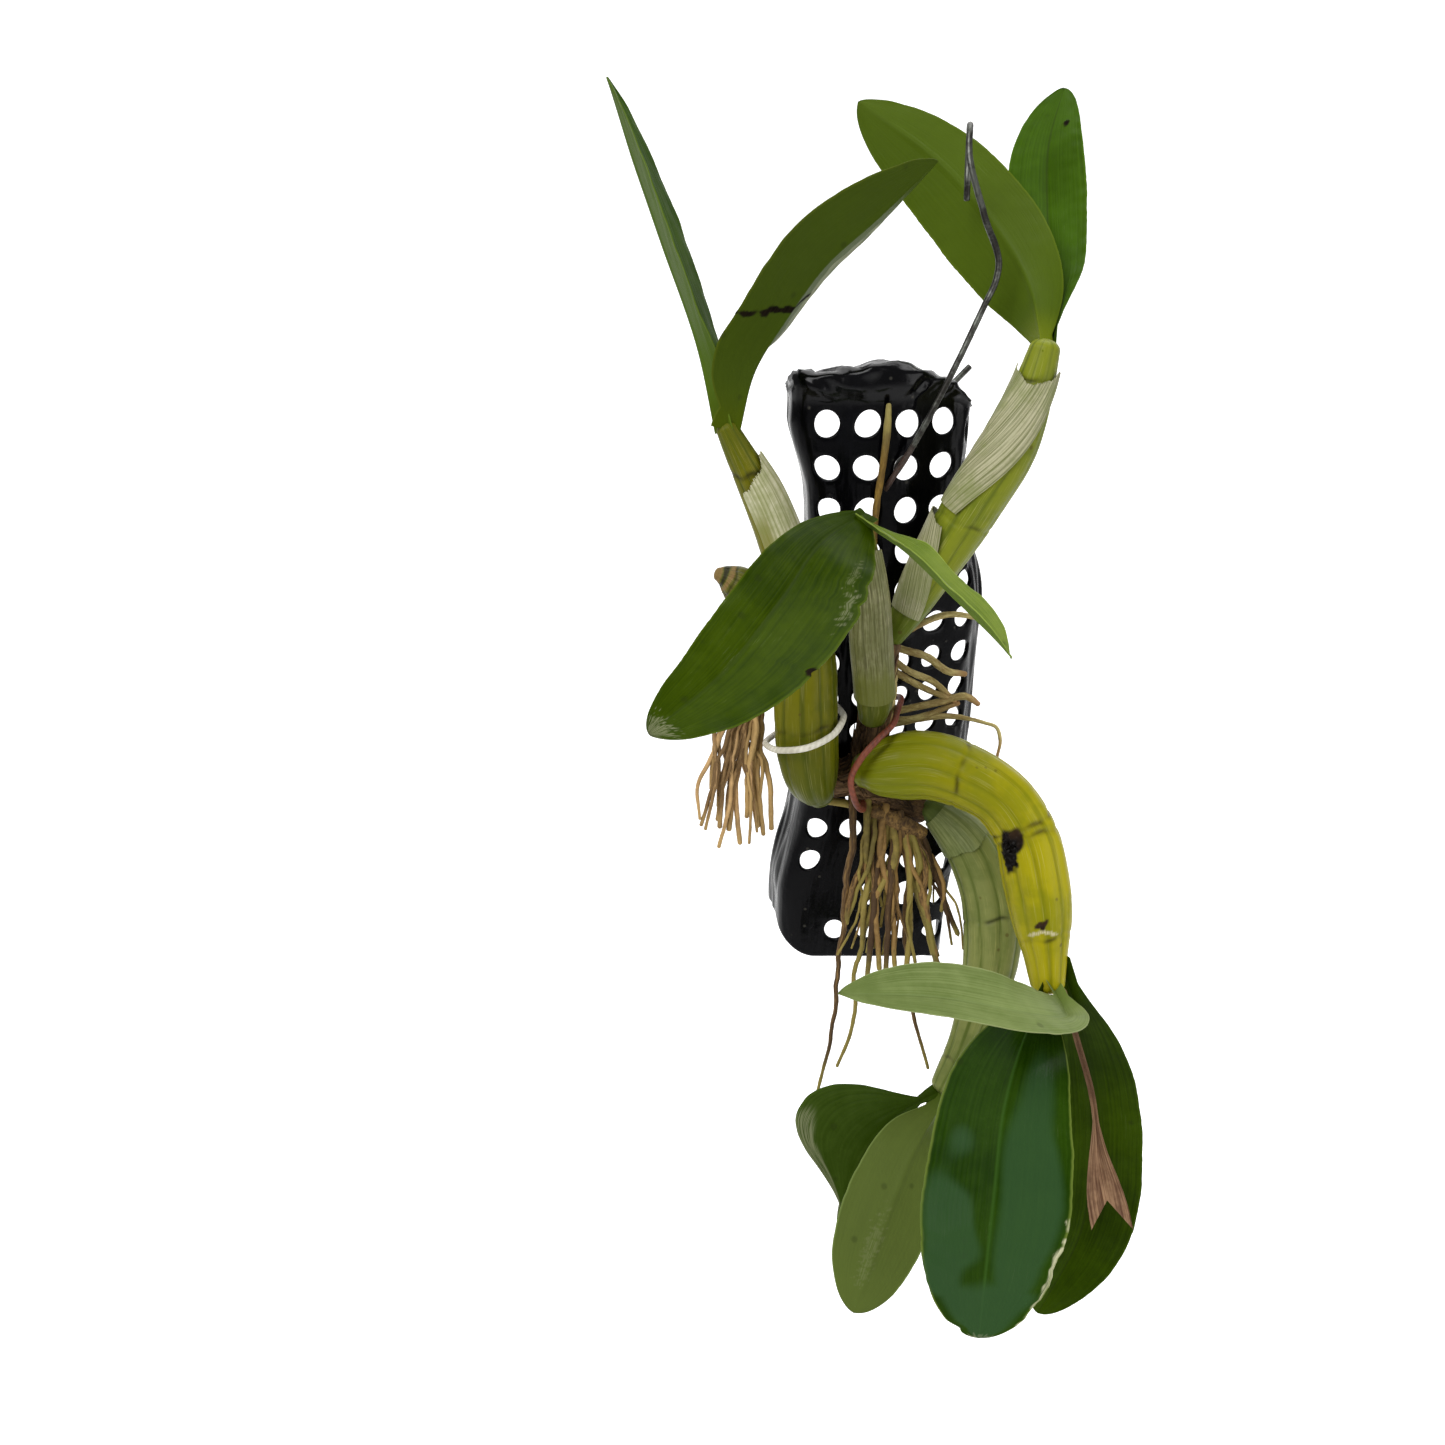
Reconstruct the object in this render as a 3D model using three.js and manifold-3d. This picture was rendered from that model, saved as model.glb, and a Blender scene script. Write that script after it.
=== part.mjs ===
// Cowhorn orchid tied to a hanging half shell of perforated plastic.
// Sizes are millimetres, Z is up, the viewer stands on the -Y side and the origin is the inner crown of the
// hook, where the rail bears.
import * as THREE from 'three';
import Module from 'manifold-3d';

const wasm = await Module();
wasm.setup();

// Shell: a sheet with a square pattern of round holes, bent to a half tube that is open at the back.
const HOLE_ROWS = 15;
const HOLE_COLUMNS = 6;
const PITCH_ACROSS = 20;
const PITCH_DOWN = 21.5;
const HOLE_RADIUS = 6.25;
const SHEET_THICKNESS = 2.6;
const SHEET_LEFT = -24;
const SHEET_RIGHT = 122;
const SHEET_FOOT = 8;
const FIRST_ROW = { y: -3, z: -132.5 };
const SHELL_LEAN = 0.234;

// Closed holes of the pattern: column, first row and last row.
const CLOSED_HOLES = [[0, 0, 2], [0, 11, 14], [1, 13, 14], [2, 12, 13]];
const isClosed = (column, row) => CLOSED_HOLES.some(
  ([at, first, last]) => column === at && row >= first && row <= last,
);

// Hanger wire.
const WIRE_RADIUS = 1.5;
const HOOK_INNER_RADIUS = 10;

// Space left between pieces that bear on each other.
const FIT = 0.32;

// Leaves.
const LEAF_THICKNESS = 2;
const LEAF_STEPS = 9;
const LEAF_STRIPS = 4;

// Bulbs.
const BULB_SIDES = 18;
const BULB_RIDGES = 9;

const GREEN = 0x3f5c10;

function smooth(from, to, x) {
  const t = Math.min(1, Math.max(0, (x - from) / (to - from)));
  return t * t * (3 - 2 * t);
}

function mix(a, b, t) {
  return a + (b - a) * t;
}

// Repeatable random numbers in 0..1.
function dice(seed) {
  let state = seed;
  return () => {
    state = (state * 1664525 + 1013904223) % 4294967296;
    return state / 4294967296;
  };
}

// Smooth curve through rows of numbers whose first three are a place. The knots are spaced by distance.
function curveThrough(rows) {
  const knots = [0];
  for (let i = 1; i < rows.length; i += 1) {
    const gap = Math.hypot(
      rows[i][0] - rows[i - 1][0],
      rows[i][1] - rows[i - 1][1],
      rows[i][2] - rows[i - 1][2],
    );
    knots.push(knots[i - 1] + gap);
  }
  const total = knots[knots.length - 1];
  const slope = (i, k) => {
    const last = rows.length - 1;
    if (i === 0) {
      return (rows[1][k] - rows[0][k]) / (knots[1] - knots[0]);
    }
    if (i === last) {
      return (rows[last][k] - rows[last - 1][k]) / (knots[last] - knots[last - 1]);
    }
    const before = knots[i] - knots[i - 1];
    const after = knots[i + 1] - knots[i];
    const rise = ((rows[i + 1][k] - rows[i][k]) / after) * before;
    const fall = ((rows[i][k] - rows[i - 1][k]) / before) * after;
    return (rise + fall) / (before + after);
  };
  const at = (share) => {
    const place = Math.min(1, Math.max(0, share)) * total;
    let i = 0;
    while (i < rows.length - 2 && place > knots[i + 1]) {
      i += 1;
    }
    const span = knots[i + 1] - knots[i];
    const t = (place - knots[i]) / span;
    const t2 = t * t;
    const t3 = t2 * t;
    return rows[i].map((value, k) => (
      (2 * t3 - 3 * t2 + 1) * value
      + (t3 - 2 * t2 + t) * span * slope(i, k)
      + (3 * t2 - 2 * t3) * rows[i + 1][k]
      + (t3 - t2) * span * slope(i + 1, k)
    ));
  };
  return { at, total };
}

const vec = (row) => new THREE.Vector3(row[0], row[1], row[2]);

const evenMarks = (steps) => Array.from({ length: steps + 1 }, (unused, i) => i / steps);

// Places, directions and side vectors along a curve, carried on from the first hint without twist.
function framesAlong(curve, marks, hint) {
  const frames = [];
  let side = vec(hint);
  marks.forEach((share) => {
    const row = curve.at(share);
    const ahead = vec(curve.at(share + 0.004));
    const behind = vec(curve.at(share - 0.004));
    const tangent = ahead.sub(behind).normalize();
    side = side.clone().addScaledVector(tangent, -side.dot(tangent)).normalize();
    frames.push({ share, row, tangent, side, cross: new THREE.Vector3().crossVectors(tangent, side) });
  });
  return frames;
}

// A closed solid as a list of places and a list of triangles.
class Solid {
  constructor() {
    this.places = [];
    this.triangles = [];
  }

  add(place) {
    this.places.push(place.x, place.y, place.z);
    return this.places.length / 3 - 1;
  }

  quad(a, b, c, d) {
    this.triangles.push(a, b, c, a, c, d);
  }

  fan(ring, pole, flip) {
    ring.forEach((from, i) => {
      const to = ring[(i + 1) % ring.length];
      this.triangles.push(...(flip ? [pole, to, from] : [pole, from, to]));
    });
  }

  band(lower, upper) {
    lower.forEach((from, i) => {
      const next = (i + 1) % lower.length;
      this.quad(from, lower[next], upper[next], upper[i]);
    });
  }

  manifold() {
    return new wasm.Manifold(new wasm.Mesh({
      numProp: 3,
      vertProperties: new Float32Array(this.places),
      triVerts: new Uint32Array(this.triangles),
    }));
  }
}

// Round stem along rows of [x, y, z, radius], with long ridges if wanted and rounded ends.
function stem(rows, options = {}) {
  const { sides = 6, steps = 8, ridges = 0, ridge = 0, ends = [0.6, 0.6], grow = 0, blunt = true } = options;
  const curve = curveThrough(rows);
  const solid = new Solid();
  const frames = framesAlong(curve, evenMarks(steps), [0, -1, 0.01]);
  const ring = (frame, scale, offset) => {
    const indices = [];
    for (let k = 0; k < sides; k += 1) {
      const angle = (k / sides) * 2 * Math.PI;
      const radius = (frame.row[3] * (1 + ridge * Math.cos(ridges * angle)) + grow) * scale;
      indices.push(solid.add(vec(frame.row)
        .addScaledVector(frame.tangent, offset)
        .addScaledVector(frame.side, Math.cos(angle) * radius)
        .addScaledVector(frame.cross, Math.sin(angle) * radius)));
    }
    return indices;
  };
  const first = frames[0];
  const last = frames[steps];
  const foot = (first.row[3] + grow) * ends[0];
  const head = (last.row[3] + grow) * ends[1];
  const rings = frames.map((frame) => ring(frame, 1, 0));
  if (blunt) {
    rings.unshift(ring(first, 0.78, -foot * 0.7));
    rings.push(ring(last, 0.78, head * 0.7));
  }
  for (let i = 1; i < rings.length; i += 1) {
    solid.band(rings[i - 1], rings[i]);
  }
  solid.fan(rings[0], solid.add(vec(first.row).addScaledVector(first.tangent, -foot)), true);
  solid.fan(rings[rings.length - 1], solid.add(vec(last.row).addScaledVector(last.tangent, head)), false);
  return solid.manifold();
}

// Closed loop of a round cord through a list of places.
function loop(places, radius, grow = 0) {
  const sides = 5;
  const steps = 32;
  const closed = new THREE.CatmullRomCurve3(places.map(vec), true, 'centripetal');
  const frames = closed.computeFrenetFrames(steps, true);
  const solid = new Solid();
  const rings = [];
  for (let i = 0; i < steps; i += 1) {
    const centre = closed.getPointAt(i / steps);
    const indices = [];
    for (let k = 0; k < sides; k += 1) {
      const angle = (k / sides) * 2 * Math.PI;
      indices.push(solid.add(centre.clone()
        .addScaledVector(frames.normals[i], Math.cos(angle) * (radius + grow))
        .addScaledVector(frames.binormals[i], Math.sin(angle) * (radius + grow))));
    }
    rings.push(indices);
  }
  rings.forEach((lower, i) => solid.band(lower, rings[(i + 1) % steps]));
  return solid.manifold();
}

// Outline of a leaf as a share of its half width: narrow foot, widest at the belly, rounded tip.
function leafOutline(share, leaf) {
  const { foot = 0.42, belly = 0.52, tip = 0.56, flare = 1, least = 0.05 } = leaf;
  const body = share < belly
    ? Math.pow(1 - Math.pow((belly - share) / belly, 2.1), 0.8)
    : Math.pow(1 - Math.pow((share - belly) / (1 - belly), 2.2), tip);
  return Math.max(Math.pow(body, flare), foot * (1 - smooth(0, 0.3, share)), least);
}

// Leaf blade along rows of [x, y, z]. faces: where the upper side looks at the foot and at the tip.
// halves: half width of the two sides. fold: how far each side is folded up from flat, in degrees.
// fork: how far the middle of the tip is torn back.
function blade(leaf, grow = 0) {
  const curve = curveThrough(leaf.rows);
  const steps = leaf.steps || LEAF_STEPS;
  const marks = Array.from({ length: steps + 1 }, (unused, i) => (
    mix(i / steps, 0.5 - 0.5 * Math.cos((Math.PI * i) / steps), i * 2 > steps ? 0.85 : 0.35)
  ));
  const frames = framesAlong(curve, marks, leaf.faces[0]);
  const thickness = leaf.thickness || LEAF_THICKNESS;
  const solid = new Solid();
  const upper = [];
  const lower = [];
  frames.forEach((frame) => {
    const u = frame.share;
    const wanted = vec(leaf.faces[0]).lerp(vec(leaf.faces[1]), u);
    const face = wanted.addScaledVector(frame.tangent, -wanted.dot(frame.tangent)).normalize();
    const across = new THREE.Vector3().crossVectors(face, frame.tangent);
    const middle = vec(frame.row);
    if (u === 0 || u === 1) {
      middle.addScaledVector(frame.tangent, u === 0 ? -grow : grow);
    }
    const outline = leafOutline(u, leaf);
    const split = (leaf.fork || 0) * smooth(0.62, 1, u);
    const close = mix(leaf.fold[0], leaf.fold[1], smooth(0, 0.35, u)) * (Math.PI / 180);
    const top = [];
    const under = [];
    for (let j = 0; j <= LEAF_STRIPS; j += 1) {
      const v = (2 * j) / LEAF_STRIPS - 1;
      const half = (v < 0 ? leaf.halves[0] : leaf.halves[1]) * outline + grow;
      const wave = (leaf.wave || 0) * Math.sin(u * 15 + (v < 0 ? 1 : 3)) * v * v;
      const lift = Math.sin(close) * Math.abs(v) + (leaf.curl || 0) * v * v;
      const skin = thickness * (1 - 0.5 * v * v) * 0.5 + grow;
      const centre = middle.clone()
        .addScaledVector(frame.tangent, -split * (1 - Math.abs(v)))
        .addScaledVector(across, half * Math.cos(close) * v)
        .addScaledVector(face, half * lift + wave);
      top.push(solid.add(centre.clone().addScaledVector(face, skin)));
      under.push(solid.add(centre.clone().addScaledVector(face, -skin)));
    }
    upper.push(top);
    lower.push(under);
  });
  const last = LEAF_STRIPS;
  for (let i = 0; i < steps; i += 1) {
    for (let j = 0; j < last; j += 1) {
      solid.quad(upper[i][j], upper[i + 1][j], upper[i + 1][j + 1], upper[i][j + 1]);
      solid.quad(lower[i][j], lower[i][j + 1], lower[i + 1][j + 1], lower[i + 1][j]);
    }
    solid.quad(upper[i][0], lower[i][0], lower[i + 1][0], upper[i + 1][0]);
    solid.quad(upper[i][last], upper[i + 1][last], lower[i + 1][last], lower[i][last]);
  }
  for (let j = 0; j < last; j += 1) {
    solid.quad(upper[0][j], upper[0][j + 1], lower[0][j + 1], lower[0][j]);
    solid.quad(upper[steps][j], lower[steps][j], lower[steps][j + 1], upper[steps][j + 1]);
  }
  return solid.manifold();
}

// Papery sheath: a patch over part of a bulb, between two shares of its length and two angles from the
// side that faces the viewer. Its upper edge runs up to a point at the middle angle, and slant turns its
// foot round the bulb.
function sheath(rows, patch, grow = 0) {
  const curve = curveThrough(rows);
  const steps = 4;
  const sides = 8;
  const solid = new Solid();
  const inner = [];
  const outer = [];
  const fine = 60;
  const frames = framesAlong(curve, evenMarks(fine), [0, -1, 0.01]);
  const at = (share, angle, offset) => {
    const near = frames[Math.round(Math.min(1, Math.max(0, share)) * fine)];
    const row = curve.at(share);
    const radius = row[3] + offset;
    return vec(row)
      .addScaledVector(near.side, Math.cos(angle) * radius)
      .addScaledVector(near.cross, Math.sin(angle) * radius);
  };
  for (let i = 0; i <= steps; i += 1) {
    const inside = [];
    const outside = [];
    for (let k = 0; k <= sides; k += 1) {
      const turn = (2 * k) / sides - 1;
      const lean = (patch.slant || 0) * (i / steps - 1);
      const angle = ((patch.middle + lean + turn * patch.half) * Math.PI) / 180;
      const head = patch.to - patch.point * Math.abs(turn) - 0.012 * ((k * 7) % 3);
      const share = mix(patch.from, head, i / steps);
      const loose = patch.offset + (patch.flare || 0) * Math.pow(i / steps, 3);
      inside.push(solid.add(at(share, angle, loose - grow)));
      outside.push(solid.add(at(share, angle, loose + 0.8 + grow)));
    }
    inner.push(inside);
    outer.push(outside);
  }
  for (let i = 0; i < steps; i += 1) {
    for (let k = 0; k < sides; k += 1) {
      solid.quad(outer[i][k], outer[i][k + 1], outer[i + 1][k + 1], outer[i + 1][k]);
      solid.quad(inner[i][k], inner[i + 1][k], inner[i + 1][k + 1], inner[i][k + 1]);
    }
    solid.quad(outer[i][0], outer[i + 1][0], inner[i + 1][0], inner[i][0]);
    solid.quad(outer[i][sides], inner[i][sides], inner[i + 1][sides], outer[i + 1][sides]);
  }
  for (let k = 0; k < sides; k += 1) {
    solid.quad(outer[0][k], inner[0][k], inner[0][k + 1], outer[0][k + 1]);
    solid.quad(outer[steps][k], outer[steps][k + 1], inner[steps][k + 1], inner[steps][k]);
  }
  return solid.manifold();
}

// Heading of the sheet's cross section, in radians from +X towards the back, at a distance along the sheet.
// The right side is a sharp corner above and below and a slanted flank in the middle rows.
function sheetHeading(along, row) {
  const high = 1 - smooth(2, 5, row);
  const low = smooth(9, 12, row);
  const tuck = 9 * smooth(-0.3, 1.8, row) - 5.5 - 3.5 * smooth(11, 13.5, row);
  const left = -(80 + 10 * high) * (1 - smooth(-3 + tuck, 22 + tuck, along));
  const top = 22 * smooth(50, 68, along) + 60 * smooth(86, 102, along);
  const flank = 26 * smooth(44, 62, along) + 34 * smooth(96, 112, along);
  const foot = 80 * smooth(95, 113, along);
  return ((left + high * top + (1 - high - low) * flank + low * foot) * Math.PI) / 180;
}

// Place on the sheet's outer face: along counts from the first column, down from the first row of holes.
function sheetPlace(along, down) {
  const row = Math.min(HOLE_ROWS - 1, Math.max(0, down / PITCH_DOWN));
  const third = 40;
  let x = -44 + 6 * smooth(0, 5, row) - 9 * smooth(9.5, 13.5, row);
  let back = 0;
  const steps = Math.max(1, Math.ceil(Math.abs(along - third) / 2));
  const stride = (along - third) / steps;
  for (let i = 0; i < steps; i += 1) {
    const heading = sheetHeading(third + (i + 0.5) * stride, row);
    x += Math.cos(heading) * stride;
    back += Math.sin(heading) * stride;
  }
  const heading = sheetHeading(along, row);
  const corner = Math.min(1, Math.abs(heading) / 1.3);
  const edge = -PITCH_DOWN / 2;
  let up = -down;
  let inward = 0;
  if (down < edge) {
    const share = (edge - down) / 20;
    const crest = 6.5 + 7.5 * smooth(-20, 0, along) + 4.5 * Math.exp(-(((along - 47) / 16) ** 2))
      - 9 * smooth(66, 96, along) + 0.5 * Math.sin(along * 0.33) - 4 * smooth(86, 106, along);
    up = -edge + crest * Math.sin(Math.min(1, share / 0.7) * Math.PI * 0.5) - 2 * smooth(0.75, 1, share);
    const bulge = (1.4 * corner - 2) * Math.sin(Math.PI * Math.min(1, share / 0.55));
    inward = bulge + mix(11, 4.5, corner) * smooth(0.4, 1, share);
  }
  const cut = smooth(12.4, 14.8, down / PITCH_DOWN) * (1 - smooth(-8, 28, along));
  up += 20 * cut + 7 * smooth(3, 11, row) * (1 - smooth(12.6, 14, row));
  up -= 9 * smooth(84, 108, along) * (1 - smooth(0, 4, row));
  back += Math.cos(heading) * inward;
  x -= Math.sin(heading) * inward;
  const cos = Math.cos(SHELL_LEAN);
  const sin = Math.sin(SHELL_LEAN);
  return new THREE.Vector3(
    x,
    FIRST_ROW.y + back * cos - up * sin,
    FIRST_ROW.z + back * sin + up * cos,
  );
}

function sheetNormal(along, down) {
  const right = sheetPlace(along + 0.5, down).sub(sheetPlace(along - 0.5, down));
  const lower = sheetPlace(along, down + 0.5).sub(sheetPlace(along, down - 0.5));
  return new THREE.Vector3().crossVectors(lower, right).normalize();
}

function shell() {
  const solid = new Solid();
  const known = new Map();
  const corner = (along, down, layer) => {
    const key = `${Math.round(along * 1000)} ${Math.round(down * 1000)} ${layer}`;
    if (!known.has(key)) {
      const place = sheetPlace(along, down);
      if (layer) {
        place.addScaledVector(sheetNormal(along, down), -SHEET_THICKNESS);
      }
      known.set(key, solid.add(place));
    }
    return known.get(key);
  };
  const face = (points) => {
    const front = points.map(([along, down]) => corner(along, down, 0));
    const back = points.map(([along, down]) => corner(along, down, 1));
    solid.quad(front[0], front[1], front[2], front[3]);
    solid.quad(back[3], back[2], back[1], back[0]);
  };
  const wall = (from, to) => {
    solid.quad(corner(...from, 0), corner(...to, 0), corner(...to, 1), corner(...from, 1));
  };
  const random = dice(7);
  const halfAcross = PITCH_ACROSS / 2;
  const halfDown = PITCH_DOWN / 2;
  for (let i = 0; i < HOLE_COLUMNS; i += 1) {
    for (let j = 0; j < HOLE_ROWS; j += 1) {
      const turn = random() * 6.28;
      const oval = 0.03 + 0.05 * random();
      const rim = [];
      const hole = [];
      for (let k = 0; k < 8; k += 1) {
        const angle = (k / 8) * 2 * Math.PI;
        const reach = 1 / Math.max(Math.abs(Math.cos(angle)), Math.abs(Math.sin(angle)));
        const radius = HOLE_RADIUS * (1.03 + oval * Math.cos(2 * angle + turn));
        const across = i * PITCH_ACROSS;
        const down = j * PITCH_DOWN;
        rim.push([across + reach * Math.cos(angle) * halfAcross, down - reach * Math.sin(angle) * halfDown]);
        hole.push([across + Math.cos(angle) * radius, down - Math.sin(angle) * radius]);
      }
      for (let k = 0; k < 8; k += 1) {
        const next = (k + 1) % 8;
        if (isClosed(i, j)) {
          continue;
        }
        face([rim[k], rim[next], hole[next], hole[k]]);
        wall(hole[k], hole[next]);
      }
    }
  }
  const alongMarks = [SHEET_LEFT];
  for (let k = -1; k <= HOLE_COLUMNS * 2 - 1; k += 1) {
    alongMarks.push(k * halfAcross);
  }
  alongMarks.push(SHEET_RIGHT);
  const downMarks = [];
  for (let k = 5; k >= 1; k -= 1) {
    downMarks.push(-halfDown - (k * 20) / 5);
  }
  for (let k = -1; k <= HOLE_ROWS * 2 - 1; k += 1) {
    downMarks.push(k * halfDown);
  }
  downMarks.push(HOLE_ROWS * PITCH_DOWN - halfDown + SHEET_FOOT);
  const inHoles = (along, down) => (
    along > -halfAcross && along < HOLE_COLUMNS * PITCH_ACROSS - halfAcross
    && down > -halfDown && down < HOLE_ROWS * PITCH_DOWN - halfDown
  );
  for (let i = 1; i < alongMarks.length; i += 1) {
    for (let j = 1; j < downMarks.length; j += 1) {
      const [a, b, c, d] = [alongMarks[i - 1], alongMarks[i], downMarks[j - 1], downMarks[j]];
      const column = Math.round((a + b) / 2 / PITCH_ACROSS);
      const row = Math.round((c + d) / 2 / PITCH_DOWN);
      if (isClosed(column, row) || !inHoles((a + b) / 2, (c + d) / 2)) {
        face([[a, d], [b, d], [b, c], [a, c]]);
      }
    }
  }
  const [left, right] = [alongMarks[0], alongMarks[alongMarks.length - 1]];
  const [top, foot] = [downMarks[0], downMarks[downMarks.length - 1]];
  for (let i = 1; i < alongMarks.length; i += 1) {
    wall([alongMarks[i - 1], top], [alongMarks[i], top]);
    wall([alongMarks[i], foot], [alongMarks[i - 1], foot]);
  }
  for (let j = 1; j < downMarks.length; j += 1) {
    wall([left, downMarks[j]], [left, downMarks[j - 1]]);
    wall([right, downMarks[j - 1]], [right, downMarks[j]]);
  }
  return solid.manifold();
}

// Place at a column and row of the holes, or between them, at a depth behind the shell's outer face.
const atHole = (column, row, deep) => {
  const place = sheetPlace(column * PITCH_ACROSS, row * PITCH_DOWN);
  const normal = sheetNormal(column * PITCH_ACROSS, row * PITCH_DOWN);
  return place.addScaledVector(normal, -deep).toArray();
};

// Wire from the hook's tip over the crown, down in front of the shell, through it and up behind it.
const HOOK_LINE = HOOK_INNER_RADIUS + WIRE_RADIUS;
const HOOK_TURN = 0.2;
const hookRow = (degrees, drop = 0) => {
  const out = HOOK_LINE * Math.sin((degrees * Math.PI) / 180);
  const up = HOOK_LINE * Math.cos((degrees * Math.PI) / 180) - HOOK_INNER_RADIUS - drop;
  return [out * Math.sin(HOOK_TURN), out * Math.cos(HOOK_TURN), up];
};
const WIRE_ROWS = [
  [3, 14, -27], hookRow(90, 9), hookRow(90), hookRow(60), hookRow(30), hookRow(0), hookRow(-30), hookRow(-60),
  hookRow(-90, 1), [6, -12, -40], [13.6, -12.5, -63], [12.5, -12.5, -69], [8, -12.5, -79], [-8, -12, -114],
  [-26, -3.5, -150], [-33, 5, -163], [-33.5, 13, -168], [-30, 17.5, -160], [-15, 19, -134], [-2, 20, -115],
  [9.5, 21, -103],
].map((row) => [...row, WIRE_RADIUS]);

// Bulbs as rows of [x, y, z, radius] from the foot to the neck.
const BULBS = {
  left: [
    [-62, 20, -326, 8], [-66, 13, -318, 12.5], [-70, 6, -300, 15.8], [-72, 1, -275, 16.2], [-73, -3, -245, 14.8],
    [-79, -7, -212, 12], [-88, -12, -185, 10.8], [-97, -18, -165, 9.5], [-106, -24, -149, 7], [-113, -28, -136, 5.2],
  ],
  centre: [
    [-36, 8, -280, 7.5], [-36, 3, -271, 9.2], [-37.5, -2, -258, 9.4], [-40.5, -9, -236, 9.6],
    [-43.5, -19, -214, 8.6], [-48, -31, -194, 7], [-51.5, -40, -178, 5],
  ],
  right: [
    [-26, 12, -238, 6], [-20, 8, -226, 8.5], [-10, 2, -205, 11.5], [8, -10, -170, 13.8],
    [22, -19, -142, 13], [29.5, -24, -118, 9.6], [33, -27, -101, 7.2],
  ],
  yellow: [
    [-39, 14, -311, 9.5], [-33, 11.5, -310, 13.5], [-22, 8.5, -307.5, 17], [-5, 4.5, -306, 17.7],
    [12.5, -2, -310.5, 16.6], [29.5, -9, -320, 15.6], [41.5, -15.5, -338, 15.8], [47, -20, -361, 16.5],
    [50.5, -23, -383, 14.6], [52.5, -25, -399, 11.2], [54, -27, -414, 8.8],
  ],
  green: [
    [2, 31, -337, 7.5], [9, 29, -343, 10], [21, 24, -356, 13.2], [32, 17, -380, 15.2], [34, 10, -407, 15.2],
    [29, 3, -433, 13], [18, -4, -462, 9], [7, -8, -484, 7],
  ],
  stub: [
    [-81, 24, -269, 6.5], [-86, 21, -256, 8], [-92, 18, -239, 10.2], [-100.6, 17, -219.1, 11.2],
    [-104.8, 15.5, -213.7, 10.6], [-109.6, 14, -209.9, 8.8], [-114.2, 13, -207.3, 5.6],
    [-117.3, 12.5, -206.2, 3.4],
  ],
};

const RHIZOME_ROWS = [
  [-81, 26.8, -266, 6.5], [-75, 25.8, -287, 8.5], [-66, 28.8, -306, 9], [-52, 31.8, -320, 9.5],
  [-38, 29.8, -314, 9.5], [-34, 24, -292, 8.5], [-32, 18, -268, 6.5], [-27.5, 14, -243, 6],
];
const RHIZOME_ARM = [[-45, 31.8, -320, 8.5], [-22, 34.8, -333, 8.5], [-3, 34.8, -340, 7]];

// Leaves: rows of [x, y, z] from foot to tip.
const LEAVES = {
  left_narrow: {
    rows: [[-117, -27, -138], [-125, -25, -101], [-142, -23, -53], [-166, -24, 14]],
    faces: [[1, -0.15, 0.3], [1, -0.2, 0.5]], halves: [22, 22], fold: [60, 20], tip: 0.85,
  },
  left_arched: {
    rows: [[-108.5, -30, -138], [-101, -32, -110], [-87, -35, -88], [-70, -38, -66], [-50, -41, -49],
      [-22, -42, -25]],
    faces: [[-0.8, 0.3, 0.2], [-0.4, 0.35, 0.85]], halves: [30, 26], fold: [60, 16], belly: 0.45, tip: 0.75,
  },
  right_broad: {
    rows: [[31, -33, -103], [30, -9, -71], [17, 21, -35], [-7, 44, -1], [-45, 63, 32]],
    faces: [[0.35, 0.8, -0.1], [0.35, 0.8, -0.2]], halves: [27, 22], fold: [60, 16], tip: 0.62,
  },
  right_back: {
    rows: [[37, -22, -104], [45, 8, -68], [49, 38, -27], [54, 60, 12], [64, 74, 42]],
    faces: [[-0.4, -0.7, 0.5], [-0.35, -0.8, 0.5]], halves: [20, 20], fold: [60, 14], belly: 0.6, tip: 0.65,
  },
  centre_broad: {
    rows: [[-49, -41, -174.5], [-70, -66, -186], [-92, -98, -211], [-117, -127, -237], [-143, -148, -255]],
    faces: [[0.12, -0.65, 0.73], [0.1, -0.6, 0.78]], halves: [19, 35], fold: [4, 16], foot: 0.2, wave: 0.5,
  },
  centre_narrow: {
    rows: [[-53, -45, -176], [-38, -68, -186.5], [-24, -103, -202], [-11, -127, -217], [-6, -146, -226]],
    faces: [[0.2, -0.1, 0.95], [0.3, 0.1, 0.9]], halves: [11, 10], fold: [14, 26], foot: 0.2, wave: 0.8, tip: 0.95,
  },
  low_right: {
    rows: [[60, -22, -398], [79, -14, -454], [90, -9, -514], [86, -15, -570], [62, -24, -616]],
    faces: [[-0.3, -0.9, 0.1], [-0.2, -0.95, -0.1]], halves: [26, 27], fold: [60, 12], wave: 0.8, belly: 0.58,
  },
  low_front: {
    rows: [[51, -32, -419], [35, -54, -433], [22, -74, -456], [15, -89, -496], [8, -103, -562]],
    faces: [[0.2, -0.7, 0.7], [0.05, -0.95, 0.3]], halves: [37, 37], fold: [60, 9], foot: 0.3, belly: 0.6,
  },
  low_pale: {
    rows: [[55, -33, -415], [56, -51, -418], [49, -70, -412], [28, -84, -403], [-15, -90, -392],
      [-63, -98, -386]],
    faces: [[0.1, -0.2, 0.95], [0.1, -0.4, 0.9]], halves: [22, 15], fold: [50, 8], foot: 0.36, tip: 0.8,
  },
  green_left: {
    rows: [[6.8, -7, -488], [-14.3, -13, -496.5], [-33.2, -18, -513.4], [-43.7, -23, -531.4],
      [-49.4, -28, -546.3], [-50.5, -31, -560.1]],
    faces: [[-0.2, -0.75, 0.55], [-0.3, -0.95, 0.15]], halves: [43, 20], fold: [30, 8], belly: 0.54, tip: 1.2,
    flare: 4.5, foot: 0.14,
  },
  green_under: {
    rows: [[8, -12, -488], [-12, -33, -505], [-26, -48, -528], [-38, -60, -553], [-48, -69, -577]],
    faces: [[0, 0.9, -0.3], [0.1, 0.9, -0.4]], halves: [24, 24], fold: [60, 12], belly: 0.58,
  },
};

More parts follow.
